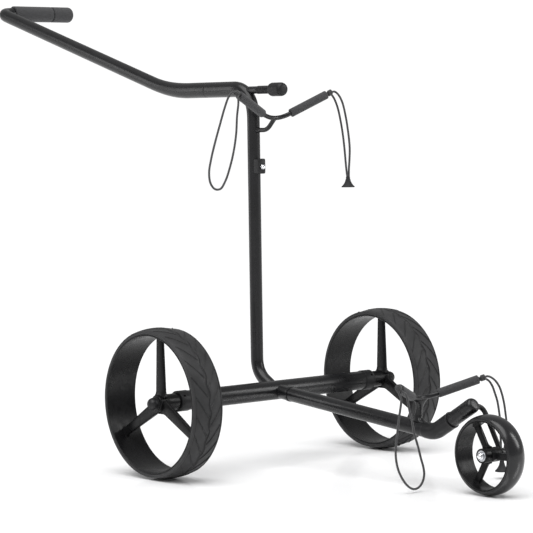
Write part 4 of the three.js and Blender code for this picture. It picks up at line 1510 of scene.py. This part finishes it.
class PUSHCART_OT_front_arm(bpy.types.Operator):
    """Make the front tube, the elbow and the stem."""

    bl_idname = "pushcart.front_arm"
    bl_label = "Front arm"

    def execute(self, context):
        build_front_arm()
        return {"FINISHED"}


class PUSHCART_OT_fork(bpy.types.Operator):
    """Make the stem cap, the fork rod and its fastenings."""

    bl_idname = "pushcart.fork"
    bl_label = "Fork"

    def execute(self, context):
        build_fork()
        return {"FINISHED"}


class PUSHCART_OT_front_wheel(bpy.types.Operator):
    """Make the front wheel."""

    bl_idname = "pushcart.front_wheel"
    bl_label = "Front wheel"

    def execute(self, context):
        build_front_wheel()
        return {"FINISHED"}


class PUSHCART_OT_rear_wheels(bpy.types.Operator):
    """Make the rear wheels and their release collars."""

    bl_idname = "pushcart.rear_wheels"
    bl_label = "Rear wheels"

    def execute(self, context):
        build_rear_wheels(context.scene.cart_tread)
        return {"FINISHED"}


class PUSHCART_OT_steel(bpy.types.Operator):
    """Give the remaining steel parts their finish."""

    bl_idname = "pushcart.steel"
    bl_label = "Steel parts"

    def execute(self, context):
        finish_steel()
        return {"FINISHED"}


class PUSHCART_OT_stage(bpy.types.Operator):
    """Add the floor, the surroundings and the lights."""

    bl_idname = "pushcart.stage"
    bl_label = "Stage"

    def execute(self, context):
        build_stage()
        return {"FINISHED"}


PIECES = [
    PUSHCART_OT_camera,
    PUSHCART_OT_cords,
    PUSHCART_OT_main_frame,
    PUSHCART_OT_handle,
    PUSHCART_OT_clamp,
    PUSHCART_OT_accessory,
    PUSHCART_OT_cradles,
    PUSHCART_OT_front_arm,
    PUSHCART_OT_fork,
    PUSHCART_OT_front_wheel,
    PUSHCART_OT_rear_wheels,
    PUSHCART_OT_steel,
    PUSHCART_OT_stage,
]


class PUSHCART_PT_panel(bpy.types.Panel):
    """Lists the cart's pieces and their sizes in the 3D view's sidebar."""

    bl_label = "Push cart"
    bl_idname = "PUSHCART_PT_panel"
    bl_space_type = "VIEW_3D"
    bl_region_type = "UI"
    bl_category = "Push cart"

    def draw(self, context):
        for settings in (context.scene.cart_colours, context.scene.cart_tread, context.scene.cart_cord):
            box = self.layout.box()
            for name in settings.bl_rna.properties.keys():
                if name not in ("rna_type", "name"):
                    box.prop(settings, name)
        for operator in PIECES:
            self.layout.operator(operator.bl_idname)


CLASSES = [CartColours, TreadSizes, CordSizes, *PIECES, PUSHCART_PT_panel]


def register():
    for cls in CLASSES:
        bpy.utils.register_class(cls)
    bpy.types.Scene.cart_colours = bpy.props.PointerProperty(type=CartColours)
    bpy.types.Scene.cart_tread = bpy.props.PointerProperty(type=TreadSizes)
    bpy.types.Scene.cart_cord = bpy.props.PointerProperty(type=CordSizes)


def unregister():
    del bpy.types.Scene.cart_colours
    del bpy.types.Scene.cart_tread
    del bpy.types.Scene.cart_cord
    for cls in reversed(CLASSES):
        bpy.utils.unregister_class(cls)


def main():
    register()
    make_materials(bpy.context.scene.cart_colours)
    bpy.ops.pushcart.camera()
    bpy.ops.pushcart.cords()
    bpy.ops.pushcart.main_frame()
    bpy.ops.pushcart.handle()
    bpy.ops.pushcart.clamp()
    bpy.ops.pushcart.accessory()
    bpy.ops.pushcart.cradles()
    bpy.ops.pushcart.front_arm()
    bpy.ops.pushcart.fork()
    bpy.ops.pushcart.front_wheel()
    bpy.ops.pushcart.rear_wheels()
    bpy.ops.pushcart.steel()
    bpy.ops.pushcart.stage()


if __name__ == "__main__":
    main()
